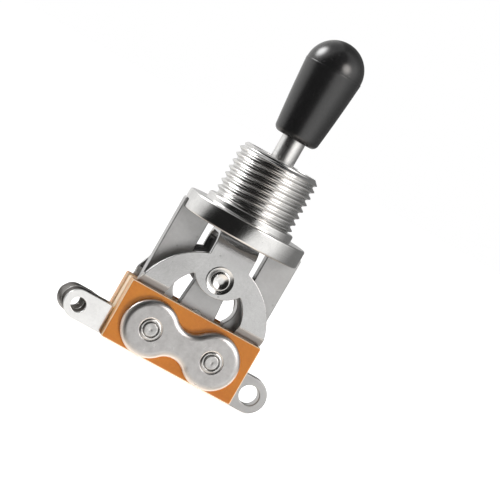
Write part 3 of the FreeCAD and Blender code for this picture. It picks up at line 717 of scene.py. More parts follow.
def plated_metal(name, rgb, rough=(0.15, 0.25), grain=3000.0, cloud=300.0, height=0.004, turning=False,
                 contrast=0.12, level=1.0, tones=()):
    """Plated metal: a grained surface with soft clouds in its colour and its roughness, and small pits.

    Each of the tones is a place, the colour painted there as light or shade, and how metallic it is there.
    """
    tree, shader = new_material(name)[1:3]
    rgb = shaded(rgb, level)
    look = placed(tree, "Plated Grain", Grain_Scale=grain, Cloud_Scale=cloud)
    pits = placed(tree, "Small Specks", Speck_Scale=grain * 0.45, Speck_Size=0.16, Share=0.10)["Mask"]
    base = mix_colours(tree, look["Shade"], shaded(rgb, 1 - contrast), shaded(rgb, 1 + contrast * 0.5))
    base = mix_colours(tree, times(tree, pits, 0.35), base, shaded(rgb, 0.45))
    shader.inputs["Metallic"].default_value = 1.0
    for place, tone, metallic in tones:
        share = place(tree)
        base = mix_colours(tree, share, base, tone)
        if metallic < 1:
            tree.links.new(spread(tree, share, 0.0, 1.0, 1.0, metallic), shader.inputs["Metallic"])
    surface = bump(tree, look["Height"], height)
    if turning:
        lines = placed(tree, "Turning Lines", Line_Scale=7000.0, Round_Scale=120.0)["Height"]
        surface = bump(tree, lines, height, surface)
    wire(tree, shader, base, look["Shade"], rough, surface)


def pressed_board(name, rgb, pale, edge_share, deep=None, rough=0.36):
    """Pressed board: clouded on its faces between two colours, paler and layered on its cut edges.

    Edges that look up get painted shade, and a painted highlight runs where a face meets a cut edge.
    """
    tree, shader = new_material(name)[1:3]
    deep = deep or rgb
    look = placed(tree, "Plated Grain", Grain_Scale=2200.0, Cloud_Scale=90.0)
    side = mix_colours(tree, placed(tree, "Pressed Layers")["Shade"], rgb, pale)
    # painted shade: cut edges that look up go dark
    side = mix_colours(tree, spread(tree, facing(tree)[2], 0.75, 0.95), side, shaded(deep, 0.45))
    cut = placed(tree, "Cut Edges", Face_Limit=0.95, Edge_Limit=0.60)["Mask"]
    base = mix_colours(tree, times(tree, cut, edge_share),
                       mix_colours(tree, look["Shade"], deep, rgb), side)
    past_face = placed(tree, "Cut Edges", Face_Limit=0.98, Edge_Limit=0.85)["Mask"]
    past_line = placed(tree, "Cut Edges", Face_Limit=0.50, Edge_Limit=0.25)["Mask"]
    # painted highlight: a pale line where a face meets a cut edge
    painted_edge_highlight = math_of(tree, "SUBTRACT", past_face, past_line)
    base = mix_colours(tree, times(tree, painted_edge_highlight, 0.8), base, (1.0, 0.84, 0.62))
    shader.inputs["Subsurface Weight"].default_value = 0.12
    shader.inputs["Subsurface Radius"].default_value = (0.9 * MM, 0.4 * MM, 0.2 * MM)
    shader.inputs["Subsurface Scale"].default_value = 1.0
    wire(tree, shader, base, look["Shade"], (rough - 0.04, rough + 0.08), bump(tree, look["Height"], 0.006))


def moulded_plastic(name, rgb, rough, gloss=0.5, dust=0.0, height=0.004):
    """Moulded plastic: a fine skin, faint clouds in the gloss, and pale dust where it is given."""
    tree, shader = new_material(name)[1:3]
    look = placed(tree, "Plated Grain", Grain_Scale=2600.0, Cloud_Scale=260.0)
    specks = placed(tree, "Small Specks", Speck_Scale=1700.0, Speck_Size=0.14, Share=0.08)["Mask"]
    base = mix_colours(tree, look["Shade"], shaded(rgb, 0.85), shaded(rgb, 1.25))
    base = mix_colours(tree, times(tree, specks, dust), base, (0.32, 0.32, 0.32))
    shader.inputs["Specular IOR Level"].default_value = gloss
    wire(tree, shader, base, look["Shade"], (rough - 0.03, rough + 0.05), bump(tree, look["Height"], height))


# Each finish: what makes it, its colour among SwitchFinish, and its values. The tones' colours are
# painted light and shade; other colours without a property of their own are part of the finish.
FINISHES = {
    "turned nickel": (plated_metal, "bright_nickel", dict(
        rough=(0.13, 0.22), grain=3200.0, cloud=420.0, height=0.003, turning=True)),
    "threaded nickel": (plated_metal, "bright_nickel", dict(
        rough=(0.13, 0.22), grain=5200.0, cloud=700.0, height=0.0055, turning=True, contrast=0.10,
        # painted shade: dark grey on faces that look down
        tones=[(painted_shade_below, (0.20, 0.20, 0.20), 1.0)])),
    "rod nickel": (plated_metal, "bright_nickel", dict(
        rough=(0.26, 0.36), grain=3200.0, cloud=420.0, height=0.002, turning=True)),
    "peened nickel": (plated_metal, "bright_nickel", dict(
        rough=(0.24, 0.36), grain=2200.0, cloud=900.0, height=0.006, contrast=0.22, level=0.78)),
    "sheet nickel": (plated_metal, "sheet_nickel", dict(
        rough=(0.30, 0.40), grain=2600.0, cloud=240.0, height=0.005)),
    "frame nickel": (plated_metal, "sheet_nickel", dict(
        rough=(0.30, 0.40), grain=2600.0, cloud=240.0, height=0.005,
        # painted reflection: warm, non-metallic peach on the frame plate's cut edges in the stack
        tones=[(painted_reflection_stack_edges, (0.90, 0.68, 0.47), 0.0)])),
    "paddle nickel": (plated_metal, "sheet_nickel", dict(
        rough=(0.28, 0.38), grain=2600.0, cloud=240.0, height=0.005,
        # painted shade: near black on the paddle's cut edges
        tones=[(cut_edges, (0.05, 0.05, 0.05), 1.0)])),
    # painted light: the frame plate's sheet nickel made 15 % brighter here, as the straps sit deeper and
    # darker
    "bracket nickel": (plated_metal, "sheet_nickel", dict(
        rough=(0.17, 0.24), grain=2600.0, cloud=200.0, height=0.003, level=1.15,
        # painted shade: near black on the arch's inner cut edges, and a darker, duller grey on the feet in
        # place of their reflection
        tones=[(painted_shade_arch_edges, (0.10, 0.09, 0.08), 1.0), (painted_shade_feet, (0.42, 0.40, 0.375), 0.25)])),
    "satin nickel": (plated_metal, "satin_nickel", dict(
        rough=(0.26, 0.36), grain=2600.0, cloud=900.0, height=0.012, contrast=0.16,
        # painted highlight: pale cream, less metallic, on the rolled rim but for its top
        tones=[(painted_highlight_lower_rim, (1.0, 0.90, 0.80), 0.12)])),
    "tinned contact": (plated_metal, "tinned", dict(
        rough=(0.10, 0.20), grain=2400.0, height=0.002, contrast=0.05,
        # painted shade: mid grey on the lug faces that look towards the middle plane
        tones=[(painted_shade_inward, (0.50, 0.49, 0.48), 1.0)])),
    "contact silver": (plated_metal, "silver", {}),
    "phenolic board": (pressed_board, "phenolic", dict(
        deep=(0.46, 0.140, 0.016), pale=(0.90, 0.60, 0.33), edge_share=0.85)),
    "laminate board": (pressed_board, "laminate", dict(pale=(0.95, 0.82, 0.64), edge_share=0.9, rough=0.42)),
    "black tip": (moulded_plastic, "tip", dict(rough=0.24, gloss=0.85, dust=0.10, height=0.001)),
    "white nylon": (moulded_plastic, "nylon", dict(rough=0.4)),
}


def finish(name):
    """A finish by name, made once."""
    if name not in bpy.data.materials:
        maker, rgb, values = FINISHES[name]
        maker(name, tuple(getattr(bpy.context.scene.switch_finish, rgb)), **values)
    return bpy.data.materials[name]


# The pieces

class MaterialGroups(bpy.types.Operator):
    """Build the node groups that more than one finish uses."""
    bl_idname = "switch.material_groups"
    bl_label = "Material groups"

    def execute(self, context):
        grain_group()
        speck_group()
        turning_group()
        layer_group()
        edge_group()
        return {"FINISHED"}


class CarriedNodes(bpy.types.Operator):
    """Give the frame's own round pieces their finishes."""
    bl_idname = "switch.carried_nodes"
    bl_label = "Rod, spacers, sleeves and buttons"

    def execute(self, context):
        kept = {
            "lever_rod": "rod nickel",
            "fork_rivet": "sheet nickel",
            "actuator_cam": "white nylon",
            "left_rivet_sleeve": "white nylon",
            "right_rivet_sleeve": "white nylon",
        }
        for end, _ in ENDS:
            kept[end + "_pivot_spacer"] = "sheet nickel"
            kept[end + "_fixed_button"] = "contact silver"
            kept[end + "_spring_button"] = "contact silver"
        for name, look in kept.items():
            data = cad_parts[name].data
            data.materials.clear()
            data.materials.append(finish(look))
        return {"FINISHED"}


def neck_outline(neck, thread_foot, top):
    """Half the section of the bushing but for its thread: down the bore, round the flange, up the collar."""
    bore = neck.bore_radius / MM
    flange = BUSHING_HIGH[0]
    base = BUSHING_LOW[2]
    collar = neck.collar_diameter / MM / 2
    collar_top = neck.collar_height / MM
    edge = neck.flange_round / MM
    lead = neck.thread_diameter / MM / 2 - neck.lead_in / MM
    corners = [(lead, top), (bore, top), (bore, base), (flange, base), (flange, 0), (collar, 0),
               (collar, collar_top), (thread_foot, collar_top)]
    radii = [0, 0.12, 0.1, edge, edge, 0.12, 0.3, 0]
    closed = round_corners(corners, radii, 6)
    start = np.argmin(np.linalg.norm(closed - corners[0], axis=1))
    return np.roll(closed, -start, 0)


def thread_grid(neck, foot, top, columns):
    """The helical thread as a grid of columns round the neck and rows across its pitches.

    A row's height grows by one pitch in a turn, so the last column's row meets the first column's
    row one pitch higher. The radius is crest - depth + depth * ridge, where the ridge grows with the
    distance from the root, is cut off flat at the crest and has rounded flanks. It is held under the
    cone of the lead-in, and the thread runs out at its foot. Rows beyond the foot or the top lie on
    those levels.
    """
    pitch = neck.thread_pitch / MM
    depth = neck.thread_depth / MM
    crest = neck.thread_diameter / MM / 2
    phases = np.array([0.0, 0.07, 0.14, 0.22, 0.32, 0.42, 0.47, 0.53, 0.58, 0.68, 0.78, 0.86, 0.93])
    per_pitch = len(phases)
    pitches = int(math.ceil((top - foot) / pitch)) + 2
    row = np.arange(per_pitch * pitches + 1)
    level = foot - pitch + pitch * (row // per_pitch + phases[row % per_pitch])
    column = np.arange(columns)
    height = level[None, :] + pitch * column[:, None] / columns
    held = np.clip(height, foot, top)
    phase = ((held - foot) / pitch - column[:, None] / columns) % 1.0
    root_share, flank_share, rounding, run_out_share = 0.12, 0.80, 0.05, 0.45
    ridge = np.clip((1 - root_share - 2 * np.abs(phase - 0.5)) / flank_share, 0, 1)
    ridge = ridge - rounding * np.sin(2 * math.pi * ridge)
    run_out = smooth_step((held - foot) / (run_out_share * pitch))
    radius = crest - depth + depth * ridge * run_out
    cone = crest - neck.lead_in / MM + (top - held)
    radius = np.minimum(radius, cone)
    angle = 2 * math.pi * column[:, None] / columns
    points = np.stack([radius * np.cos(angle), radius * np.sin(angle), held], -1)
    index = np.arange(columns * len(row)).reshape(columns, len(row))
    body = np.stack([index[:-1, :-1], index[1:, :-1], index[1:, 1:], index[:-1, 1:]], -1).reshape(-1, 4)
    last = index[-1, :-1 - per_pitch]
    seam = np.stack([last, index[0, per_pitch:-1], index[0, per_pitch + 1:], index[-1, 1:-per_pitch]], -1)
    return points.reshape(-1, 3), np.concatenate([body, seam.reshape(-1, 4)])


class Bushing(bpy.types.Operator):
    """Build the threaded neck with its collar and flange."""
    bl_idname = "switch.bushing"
    bl_label = "Threaded bushing"

    def execute(self, context):
        neck = context.scene.switch_neck
        columns = 160
        foot = neck.collar_height / MM
        top = BUSHING_HIGH[2]
        root = (neck.thread_diameter / 2 - neck.thread_depth) / MM
        shell, shell_faces = turned(neck_outline(neck, root, top), columns)
        thread, thread_faces = thread_grid(neck, foot, top, columns)
        points = np.concatenate([shell, thread])
        piece("threaded_bushing", points, [shell_faces, thread_faces + len(shell)], "threaded nickel",
              "switch_body", ["bushing"], sharp=38)
        return {"FINISHED"}


class Knob(bpy.types.Operator):
    """Build the tapered tip with its rounded base, seam and dome."""
    bl_idname = "switch.knob"
    bl_label = "Tip"

    def execute(self, context):
        tip = context.scene.switch_tip
        base = KNOB_LOW[2]
        top = KNOB_HIGH[2]
        shoulder = KNOB_HIGH[0]
        dome = shoulder - tip.seam_step / MM
        seam = top - dome
        foot = tip.base_diameter / MM / 2
        round_size = tip.base_round / MM
        socket, socket_depth, swell = 1.76, 8.4, 0.05
        slope = math.atan2(shoulder - foot, seam - base)
        edge = arc((foot - round_size, base + round_size), round_size, -90, math.degrees(-slope), 9)
        side_start = edge[-1]
        share = np.linspace(0.04, 0.97, 22)
        side = side_start + (np.array([shoulder, seam]) - side_start) * share[:, None]
        side[:, 0] += swell * np.sin(math.pi * share)
        lip = np.array([
            (shoulder, seam - 0.12), (shoulder - 0.008, seam - 0.05), (shoulder - 0.03, seam - 0.015),
            (dome - 0.01, seam + 0.01), (dome - 0.002, seam + 0.05)])
        angle = np.radians(np.linspace(1.4, 90, 36))
        cap = np.column_stack([dome * np.cos(angle), seam + dome * np.sin(angle)])
        cap[-1, 0] = 0
        end = base + socket_depth
        inner = np.array([(0, end), (socket - 0.2, end), (socket, end - 0.2), (socket, base + 4),
                          (socket, base + 0.3), (socket + 0.1, base + 0.08), (socket + 0.3, base + 0.02)])
        outline = np.concatenate([inner, edge, side, lip, cap])
        points, faces = turned(outline, 96)
        piece("lever_tip", points, [faces], "black tip", "lever", ["knob"], sharp=50)
        return {"FINISHED"}


def bracket_place(points, normals):
    """Folds the bracket's blank: v is the way along the strip, nought at the middle of the web.

    An arm's height is v up to the bend, a quarter circle of the outer radius follows, and then the
    web. The joggle moves the arm inwards by a smooth step. The rear is the mirror of the front.
    """
    x, way, height = points.T
    nx, nv, nh = normals.T
    level = STRIP_HALF - np.abs(way)
    side = np.where(way > 0, 1.0, -1.0)
    angle = np.clip((level - BEND_BASE) / BEND_RADIUS, 0, math.pi / 2)
    web = np.maximum(level - BEND_BASE - BEND_RADIUS * math.pi / 2, 0)
    share = np.clip((JOGGLE_TOP - level) / JOGGLE_RUN, 0, 1)
    inwards = FOOT_IN * smooth_step(share)
    slope = -FOOT_IN * 6 * share * (1 - share) / JOGGLE_RUN
    y = BRACKET_LOW[1] + inwards + BEND_RADIUS * (1 - np.cos(angle)) + web
    z = np.minimum(level, BEND_BASE) + BEND_RADIUS * np.sin(angle)
    along_y = np.where(level < BEND_BASE, slope, np.sin(angle))
    along_z = np.where(level < BEND_BASE, 1.0, np.cos(angle))
    size = np.hypot(along_y, along_z)
    along_y /= size
    along_z /= size
    depth = height - BRACKET_SHEET
    folded = np.column_stack([x, -side * (y - along_z * depth), z + along_y * depth])
    lean_y = nv * along_y + side * nh * along_z
    lean_z = nh * along_y - side * nv * along_z
    return folded, np.column_stack([nx, lean_y, lean_z])


def bracket_loops(corner):
    """The bracket's blank: outline, two arch openings, two pivot holes, four rivet holes and the slot."""
    tab, foot = 3.0, 8.6
    opening, opening_z = 5.45, -13.6
    hub, hub_drop, pin_hole = 4.4, 2.45, 1.0
    hub_z = PIVOT_Z - hub_drop + hub
    slot_x, slot_y = 2.35, 1.2
    shoulder = BLOCK_HIGH[2] + 0.05
    bottom = BRACKET_LOW[2]
    start = math.degrees(math.asin((shoulder - ARCH_Z) / ARCH_RADIUS))
    end = math.degrees(math.acos(tab / ARCH_RADIUS))
    side = np.concatenate([
        [(foot, bottom), (foot, shoulder)],
        arc((0, ARCH_Z), ARCH_RADIUS, start, end, 44),
    ])
    side[:, 1] -= STRIP_HALF
    right = np.concatenate([side, side[::-1] * (1, -1)])
    outline = subdivide(round_corners(mirrored(right), corner), 0.45)
    gap = hub_z - opening_z
    rise = (gap ** 2 + opening ** 2 - hub ** 2) / (2 * gap)
    half = math.sqrt(opening ** 2 - rise ** 2)
    horn = math.degrees(math.atan2(rise, half))
    hub_low = math.degrees(math.atan2(gap - rise, half))
    window = np.concatenate([
        arc((0, opening_z), opening, 180 - horn, 360 + horn, 74),
        arc((0, hub_z), hub, -hub_low, hub_low - 180, 34)[1:-1],
    ])
    window = round_corners(window, 0.22)
    openings = [window, circle(0, PIVOT_Z, pin_hole), *rivet_holes(RIVET_HOLE, 24)]
    holes = [(loop - (0, STRIP_HALF)) * (1, side) for side in (1, -1) for loop in openings]
    slot = round_corners(rectangle(-slot_x, slot_x, -slot_y, slot_y), 0.3)
    return [outline, *holes, slot]


class Bracket(bpy.types.Operator):
    """Build the folded bracket with its two arches."""
    bl_idname = "switch.bracket"
    bl_label = "Folded bracket"

    def execute(self, context):
        sheets = context.scene.switch_sheets
        stamped = sheets.stamped_edge / MM
        bend, joggle, web = np.arange(-5.2, -1.2, 0.18), np.arange(-14.2, -12.2, 0.10), [-0.6, 0.0, 0.6]
        folds = np.concatenate([bend, joggle]) - STRIP_HALF
        levels = np.concatenate([folds, -folds, web])
        rows = point_rows(np.arange(-9.45, 9.5, 0.3), levels)
        sheet_piece("folded_bracket", bracket_loops(sheets.corner / MM),
                    edge_rows(BRACKET_SHEET, stamped, stamped), bracket_place, "bracket nickel",
                    "bracket", rows=rows)
        return {"FINISHED"}


class FramePlate(bpy.types.Operator):
    """Build the flat frame plate with its straps, window and ground lug."""
    bl_idname = "switch.frame_plate"
    bl_label = "Frame plate"

    def execute(self, context):
        corner = context.scene.switch_sheets.corner / MM
        thickness, rounding = 2.0, 0.14
        top = FRAME_HIGH[2]
        strap, strap_in, neck = 9.025, 4.65, 3.8
        lobe, lobe_x, lobe_z = 2.6, 2.025, -11.9
        pouch, pouch_z, pouch_round = 3.896, -16.483, 1.2
        shoulder, shoulder_round = -9.0, 1.4
        root_left, root_right = BLOCK_LOW[0] + 0.15, BLOCK_HIGH[0] - 0.15
        root_low, root_top, cut = BLOCK_LOW[2], -14.25, 0.3
        lug, lug_z, lug_hole = 2.5, -20.65, 1.4
        lug_x = FRAME_HIGH[0] - lug
        turn = math.degrees(math.acos((neck - strap_in + shoulder_round) / shoulder_round))
        lobe_in = math.degrees(math.acos((neck - lobe_x) / lobe))
        lobe_out = math.degrees(math.acos((pouch - lobe_x) / lobe))
        window_right = np.concatenate([
            [(strap_in, top)],
            arc((strap_in - shoulder_round, shoulder + shoulder_round), shoulder_round, 0, -turn, 8),
            arc((lobe_x, lobe_z), lobe, lobe_in, -lobe_out, 16),
            arc((pouch - pouch_round, pouch_z + pouch_round), pouch_round, 0, -90, 10),
        ])
        window = np.concatenate([window_right * (-1, 1), window_right[::-1]])
        outline = np.concatenate([
            window,
            [(strap, top), (strap, root_top), (root_right, root_top), (root_right, lug_z + lug)],
            arc((lug_x, lug_z), lug, 90, -90, 40),
            [(root_right, lug_z - lug), (root_right - cut, root_low), (root_left + cut, root_low),
             (root_left, root_low + cut), (root_left, root_top), (-strap, root_top), (-strap, top)],
        ])
        loops = [round_corners(outline, corner), circle(lug_x, lug_z, lug_hole),
                 *rivet_holes(SLEEVE_RADIUS, 32)]
        sheet_piece("plate_with_straps", loops, edge_rows(thickness, rounding, rounding),
                    flat_place(-thickness / 2, -1), "frame nickel", "frame_plate")
        return {"FINISHED"}


class Paddle(bpy.types.Operator):
    """Build the flared plate at the lever's foot."""
    bl_idname = "switch.paddle"
    bl_label = "Lever paddle"

    def execute(self, context):
        tongue, hub, end, round_size = 1.2, 2.2, 2.75, 1.0
        pin_hole, cam_hole, rivet_hole = 1.05, 0.8, 0.6
        thickness, rounding = 1.8, 0.12
        top, foot = PADDLE_HIGH[2], PADDLE_LOW[2]
        corner_x, corner_z = end - round_size, foot + round_size
        neck = math.degrees(math.acos(tongue / hub))
        slope = math.degrees(math.atan2(end - hub, PIVOT_Z - corner_z))
        right = np.concatenate([
            [(tongue, top)],
            arc((0, PIVOT_Z), hub, neck, 0, 12),
            arc((corner_x, corner_z), round_size, slope, -90, 12),
        ])
        loops = [round_corners(mirrored(right), 0.16), circle(0, PIVOT_Z, pin_hole, 32),
                 circle(0, node_middle("actuator_cam")[2], cam_hole, 24),
                 circle(0, node_middle("fork_rivet")[2], rivet_hole, 24)]
        sheet_piece("flared_paddle", loops, edge_rows(thickness, rounding, rounding),
                    flat_place(-thickness / 2, -1), "paddle nickel", "lever_paddle",
                    body="lever")
        return {"FINISHED"}


class PivotPin(bpy.types.Operator):
    """Build the pivot pin: at each end a dished brim, and a boss with a cup in its face."""
    bl_idname = "switch.pivot_pin"
    bl_label = "Pivot pin"

    def execute(self, context):
        arm = -BRACKET_LOW[1]
        reach = PIN_HIGH[1]
        brim = PIN_HIGH[0]
        brim_height = 0.4
        top = arm + brim_height
        shank, boss = 1.0, 1.075
        shank_end = [(shank, arm - 0.02), (shank, arm)]
        brim_edge = np.array([(-0.06, 0), (-0.01, 0.05), (0, 0.14)]) + (brim, arm)
        dish = np.array([(0, -0.03), (-0.01, 0), (-0.04, -0.010), (-0.15, -0.045), (-0.30, -0.090),
                         (-0.45, -0.125)]) + (brim, top)
        boss_foot = np.array([(0.24, -0.150), (0.19, -0.150), (0.16, -0.12), (0.10, 0.05)]) + (boss, top)
        cup = np.array([(-0.02, -0.03), (-0.04, 0), (-0.06, -0.008), (-0.20, -0.060), (-0.40, -0.135),
                        (-0.55, -0.180), (-0.65, -0.200), (-0.78, -0.210)]) + (boss, reach)
        head = np.concatenate([shank_end, brim_edge, dish, boss_foot, cup, [(0.0, reach - 0.215)]])
        outline = np.concatenate([head[::-1] * (1, -1), head])
        points, faces = turned(outline, 72, (0, 0, PIVOT_Z), "Y")
        piece("headed_pivot_pin", points, [faces], "turned nickel", "switch_body",
              ["pivot_pin"], sharp=55)
        return {"FINISHED"}


class StackRivets(bpy.types.Operator):
    """Build the two rivets: at each end a struck disc, a groove, and a rippled skirt in the plate's sink."""
    bl_idname = "switch.stack_rivets"
    bl_label = "Stack rivets"

    def execute(self, context):
        face = -CLAMP_LOW[1]
        reach = RIVET_REACH
        disc_edge, centre, roll, roll_width = 0.95, 0.25, 1.25, 0.16
        skirt = np.array([(1.1, -0.42), (1.50, -0.16), (1.515, -0.11), (1.49, -0.06), (1.42, -0.01),
                          (1.32, 0.035), (1.22, 0.055), (1.13, 0.045), (1.08, 0.01)]) + (0, face)
        groove = np.array([(1.05, -0.08), (1.03, -0.28), (0.97, -0.30), (0.95, -0.10)]) + (0, face)
        disc = np.array([(0.94, -0.04), (0.90, -0.01), (0.84, 0), (0.72, 0), (0.55, -0.004), (0.38, -0.008),
                         (0.22, -0.015), (0.10, -0.04), (0.0, -0.06)]) + (0, reach)
        end = np.concatenate([skirt, groove, disc])
        outline = np.concatenate([end[::-1] * (1, -1), end])
        for node, x, turn in zip(("left_stack_rivet", "right_stack_rivet"), RIVET_XS, (0.4, 2.1)):
            points, faces = turned(outline, 72, axis="Y")
            radius = np.hypot(points[:, 0], points[:, 2])
            angle = np.arctan2(points[:, 2], points[:, 0])
            end_side = np.sign(points[:, 1])
            struck = smooth_step((disc_edge - radius) / 0.2) * smooth_step(radius / centre)
            rolled = np.exp(-((radius - roll) / roll_width) ** 2)
            ripple = 0.004 * np.sin(2 * angle + turn) * struck + 0.002 * np.sin(5 * angle + 3 * turn) * struck
            ripple += 0.03 * np.sin(3 * angle + 2 * turn) * rolled + 0.015 * np.sin(7 * angle + turn) * rolled
            near_end = np.abs(points[:, 1]) > face - 0.2
            points[:, 1] += np.where(near_end, end_side * ripple, 0)
            points += (x, 0, RIVET_Z)
            piece("peened_" + node, points, [faces], "peened nickel", "switch_body", [node],
                  sharp=50)
        return {"FINISHED"}


def clamp_outline():
    """Two round lobes joined by hollow flanks: the flank's centre lies on the line across the middle,
    where its circle touches both lobes."""
    centre_x = (RIVET_XS[0] + RIVET_XS[1]) / 2
    half_span = (RIVET_XS[1] - RIVET_XS[0]) / 2
    lobe = (CLAMP_HIGH[2] - CLAMP_LOW[2]) / 2
    neck = 2.05
    flank = (half_span ** 2 + neck ** 2 - lobe ** 2) / (2 * (lobe - neck))
    lean = math.degrees(math.atan2(neck + flank, half_span))
    upper = arc((0, neck + flank), flank, 180 + lean, 360 - lean, 26)[1:-1]
    right = arc((half_span, 0), lobe, 180 - lean, lean - 180, 60)
    lower = arc((0, -neck - flank), flank, lean, 180 - lean, 26)[1:-1]
    left = arc((-half_span, 0), lobe, -lean, lean - 360, 60)
    return np.concatenate([upper, right, lower, left]) + (centre_x, RIVET_Z)


class ClampPlates(bpy.types.Operator):
    """Build the two figure-of-eight clamp plates."""
    bl_idname = "switch.clamp_plates"
    bl_label = "Clamp plates"

    def execute(self, context):
        rim = context.scene.switch_sheets.clamp_rim / MM
        rim_depth, sink_width, sink_depth = 0.66, 0.5, 0.42
        thickness = CLAMP_HIGH[1] - CLAMP_LOW[1]
        loops = [clamp_outline(), *rivet_holes(RIVET_HOLE, 48)]
        edges = [edge_rows(thickness, 0.05, rim, front_depth=rim_depth, steps=14)]
        edges += [sunk_rows(thickness, sink_width, sink_depth)] * 2
        for end, side in ENDS:
            sheet_piece(end + "_figure_eight", loops, edges, flat_place(-CLAMP_HIGH[1], side),
                        "satin nickel", end + "_clamp_plate")
        return {"FINISHED"}


class OuterPlates(bpy.types.Operator):
    """Build the two thick outer plates of the stack, each with a channel inside for the bracket's feet."""
    bl_idname = "switch.outer_plates"
    bl_label = "Outer plates"

    def execute(self, context):
        edge = context.scene.switch_sheets.block_edge / MM
        inside_y, outside_y = -BLOCK_HIGH[1], -BLOCK_LOW[1]
        channel_depth = BRACKET_SHEET
        block = rectangle(BLOCK_LOW[0], BLOCK_HIGH[0], BLOCK_LOW[2], BLOCK_HIGH[2])
        channel, channel_low = 8.7, BRACKET_LOW[2] - 0.1
        inner = np.array([
            (BLOCK_LOW[0], BLOCK_HIGH[2]), (BLOCK_LOW[0], BLOCK_LOW[2]), (BLOCK_HIGH[0], BLOCK_LOW[2]),
            (BLOCK_HIGH[0], BLOCK_HIGH[2]), (channel, BLOCK_HIGH[2]), (channel, channel_low),
            (-channel, channel_low), (-channel, BLOCK_HIGH[2])])
        thickness = outside_y - inside_y - channel_depth
        wall = [round_corners(block, 0.3), *rivet_holes(RIVET_HOLE, 32)]
        wall_points, wall_normals, wall_faces = blank(wall, edge_rows(thickness, 0.01, edge))
        rim = round_corners(inner, [0.3, 0.3, 0.3, 0.3, 0.05, 0.1, 0.1, 0.05])
        rim_points, rim_normals, rim_faces = blank([rim], edge_rows(channel_depth, 0.04, 0.01))
        faces = wall_faces + [face + len(wall_points) for face in rim_faces]
        for end, side in ENDS:
            outer = flat_place(inside_y + channel_depth, side)(wall_points, wall_normals)
            under = flat_place(inside_y, side)(rim_points, rim_normals)
            points, normals = (np.concatenate(pair) for pair in zip(outer, under))
            piece(end + "_stack_plate", points, faces, "phenolic board", "switch_body",
                  [end + "_outer_plate"], normals)
        return {"FINISHED"}


class Insulators(bpy.types.Operator):
    """Build the six thin insulators between the contacts, with notches at the top of four."""
    bl_idname = "switch.insulators"
    bl_label = "Insulators"

    def execute(self, context):
        notches = {"inner": (2.2, -16.1), "middle": (4.45, -16.4), "outer": None}
        for layer, notch in notches.items():
            for end, side in ENDS:
                node = end + "_" + layer + "_insulator"
                low, high = node_box(node)
                near, far = sorted((abs(low[1]), abs(high[1])))
                corners = [(low[0], low[2]), (high[0], low[2]), (high[0], high[2])]
                if notch:
                    half, floor = notch
                    corners += [(half, high[2]), (half, floor), (-half, floor), (-half, high[2])]
                corners += [(low[0], high[2])]
                loops = [round_corners(corners, 0.25), *rivet_holes(SLEEVE_RADIUS, 32)]
                sheet_piece(end + "_" + layer + "_sheet", loops, edge_rows(far - near, 0.03, 0.03, steps=3),
                            flat_place(near, side), "laminate board", node)
        return {"FINISHED"}


def contact_loop(reach, ears):
    """A contact's outline: its clamped root with the ears on top, and its round-ended lug on the left.

    The ears are given as corners from right to left along the top.
    """
    root_left, root_right, root_low = -9.25, 7.1, -22.55
    tip = arc((LUG_RADIUS - reach, LUG_Z), LUG_RADIUS, 90, 270, 40)
    return round_corners(np.concatenate([
        tip, [(root_left, LUG_Z - LUG_RADIUS), (root_right, root_low), (root_right, ROOT_TOP)], ears,
        [(root_left, ROOT_TOP), (root_left, LUG_Z + LUG_RADIUS)]]), 0.12)


def stepped_place(near_y, side, step_out):
    """Stands a contact upright, as flat_place does, and steps its lug outwards by a smooth step along X.

    With t the share of the step's run behind a point, the step's slope is 6 t (1 - t) step_out / step_run.
    """
    step_start, step_run = -12.2, 0.8

    def place(points, normals):
        share = np.clip((step_start - points[:, 0]) / step_run, 0, 1)
        slope = -step_out * 6 * share * (1 - share) / step_run
        size = np.hypot(1, slope)
        x = points[:, 0] - slope / size * points[:, 2]
        y = near_y + step_out * smooth_step(share) + points[:, 2] / size
        lean_x = (normals[:, 0] - slope * normals[:, 2]) / size
        lean_y = (slope * normals[:, 0] + normals[:, 2]) / size
        return (np.column_stack([x, side * y, points[:, 1]]),
                np.column_stack([lean_x, side * lean_y, normals[:, 1]]))
    return place


class Contacts(bpy.types.Operator):
    """Build the four contacts with their solder lugs.

    The rear ears are the front ones mirrored. Only the rear spring contact's lug steps outwards, so
    its box is far deeper than its sheet.
    """
    bl_idname = "switch.contacts"
    bl_label = "Contacts and lugs"

    def execute(self, context):
        top, spring_top = -14.4, -16.05
        ear_in, ear_out, spring_half = 2.45, 4.15, 1.4
        spring_thickness, rear_step = 0.15, 1.55
        ears_of = {
            "fixed": np.array([(ear_out, ROOT_TOP), (ear_out, top), (ear_in, top), (ear_in, ROOT_TOP)]),
            "spring": np.array([(spring_half, ROOT_TOP), (spring_half, spring_top), (ear_out, spring_top),
                                (ear_out, top), (-spring_half, top), (-spring_half, ROOT_TOP)]),
        }
        for end, side in ENDS:
            for kind, ears in ears_of.items():
                node = end + "_" + kind + "_contact"
                low, high = node_box(node)
                near, far = sorted((abs(low[1]), abs(high[1])))
                thickness = spring_thickness if kind == "spring" else far - near
                if side > 0:
                    ears = ears[::-1] * (-1, 1)
                loops = [subdivide(contact_loop(-low[0], ears), 0.5),
                         circle(low[0] + LUG_RADIUS, LUG_Z, LUG_HOLE, 40), *rivet_holes(SLEEVE_RADIUS, 32)]
                step_out, rows = 0.0, None
                if far - near > 1:
                    step_out = rear_step
                    near = far - step_out - thickness
                    rows = point_rows(np.arange(-13.2, -12.0, 0.08), np.arange(-22.7, -18.9, 0.2))
                sheet_piece(end + "_" + kind + "_blade", loops, edge_rows(thickness, 0.04, 0.04, steps=4),
                            stepped_place(near, side, step_out), "tinned contact", node,
                            rows=rows)
        return {"FINISHED"}


# Stage: azimuths run from -Y towards +X and elevations upwards, in degrees

LEFT_BOX = (-109, 30)
RIGHT_BOX = (32, 27)

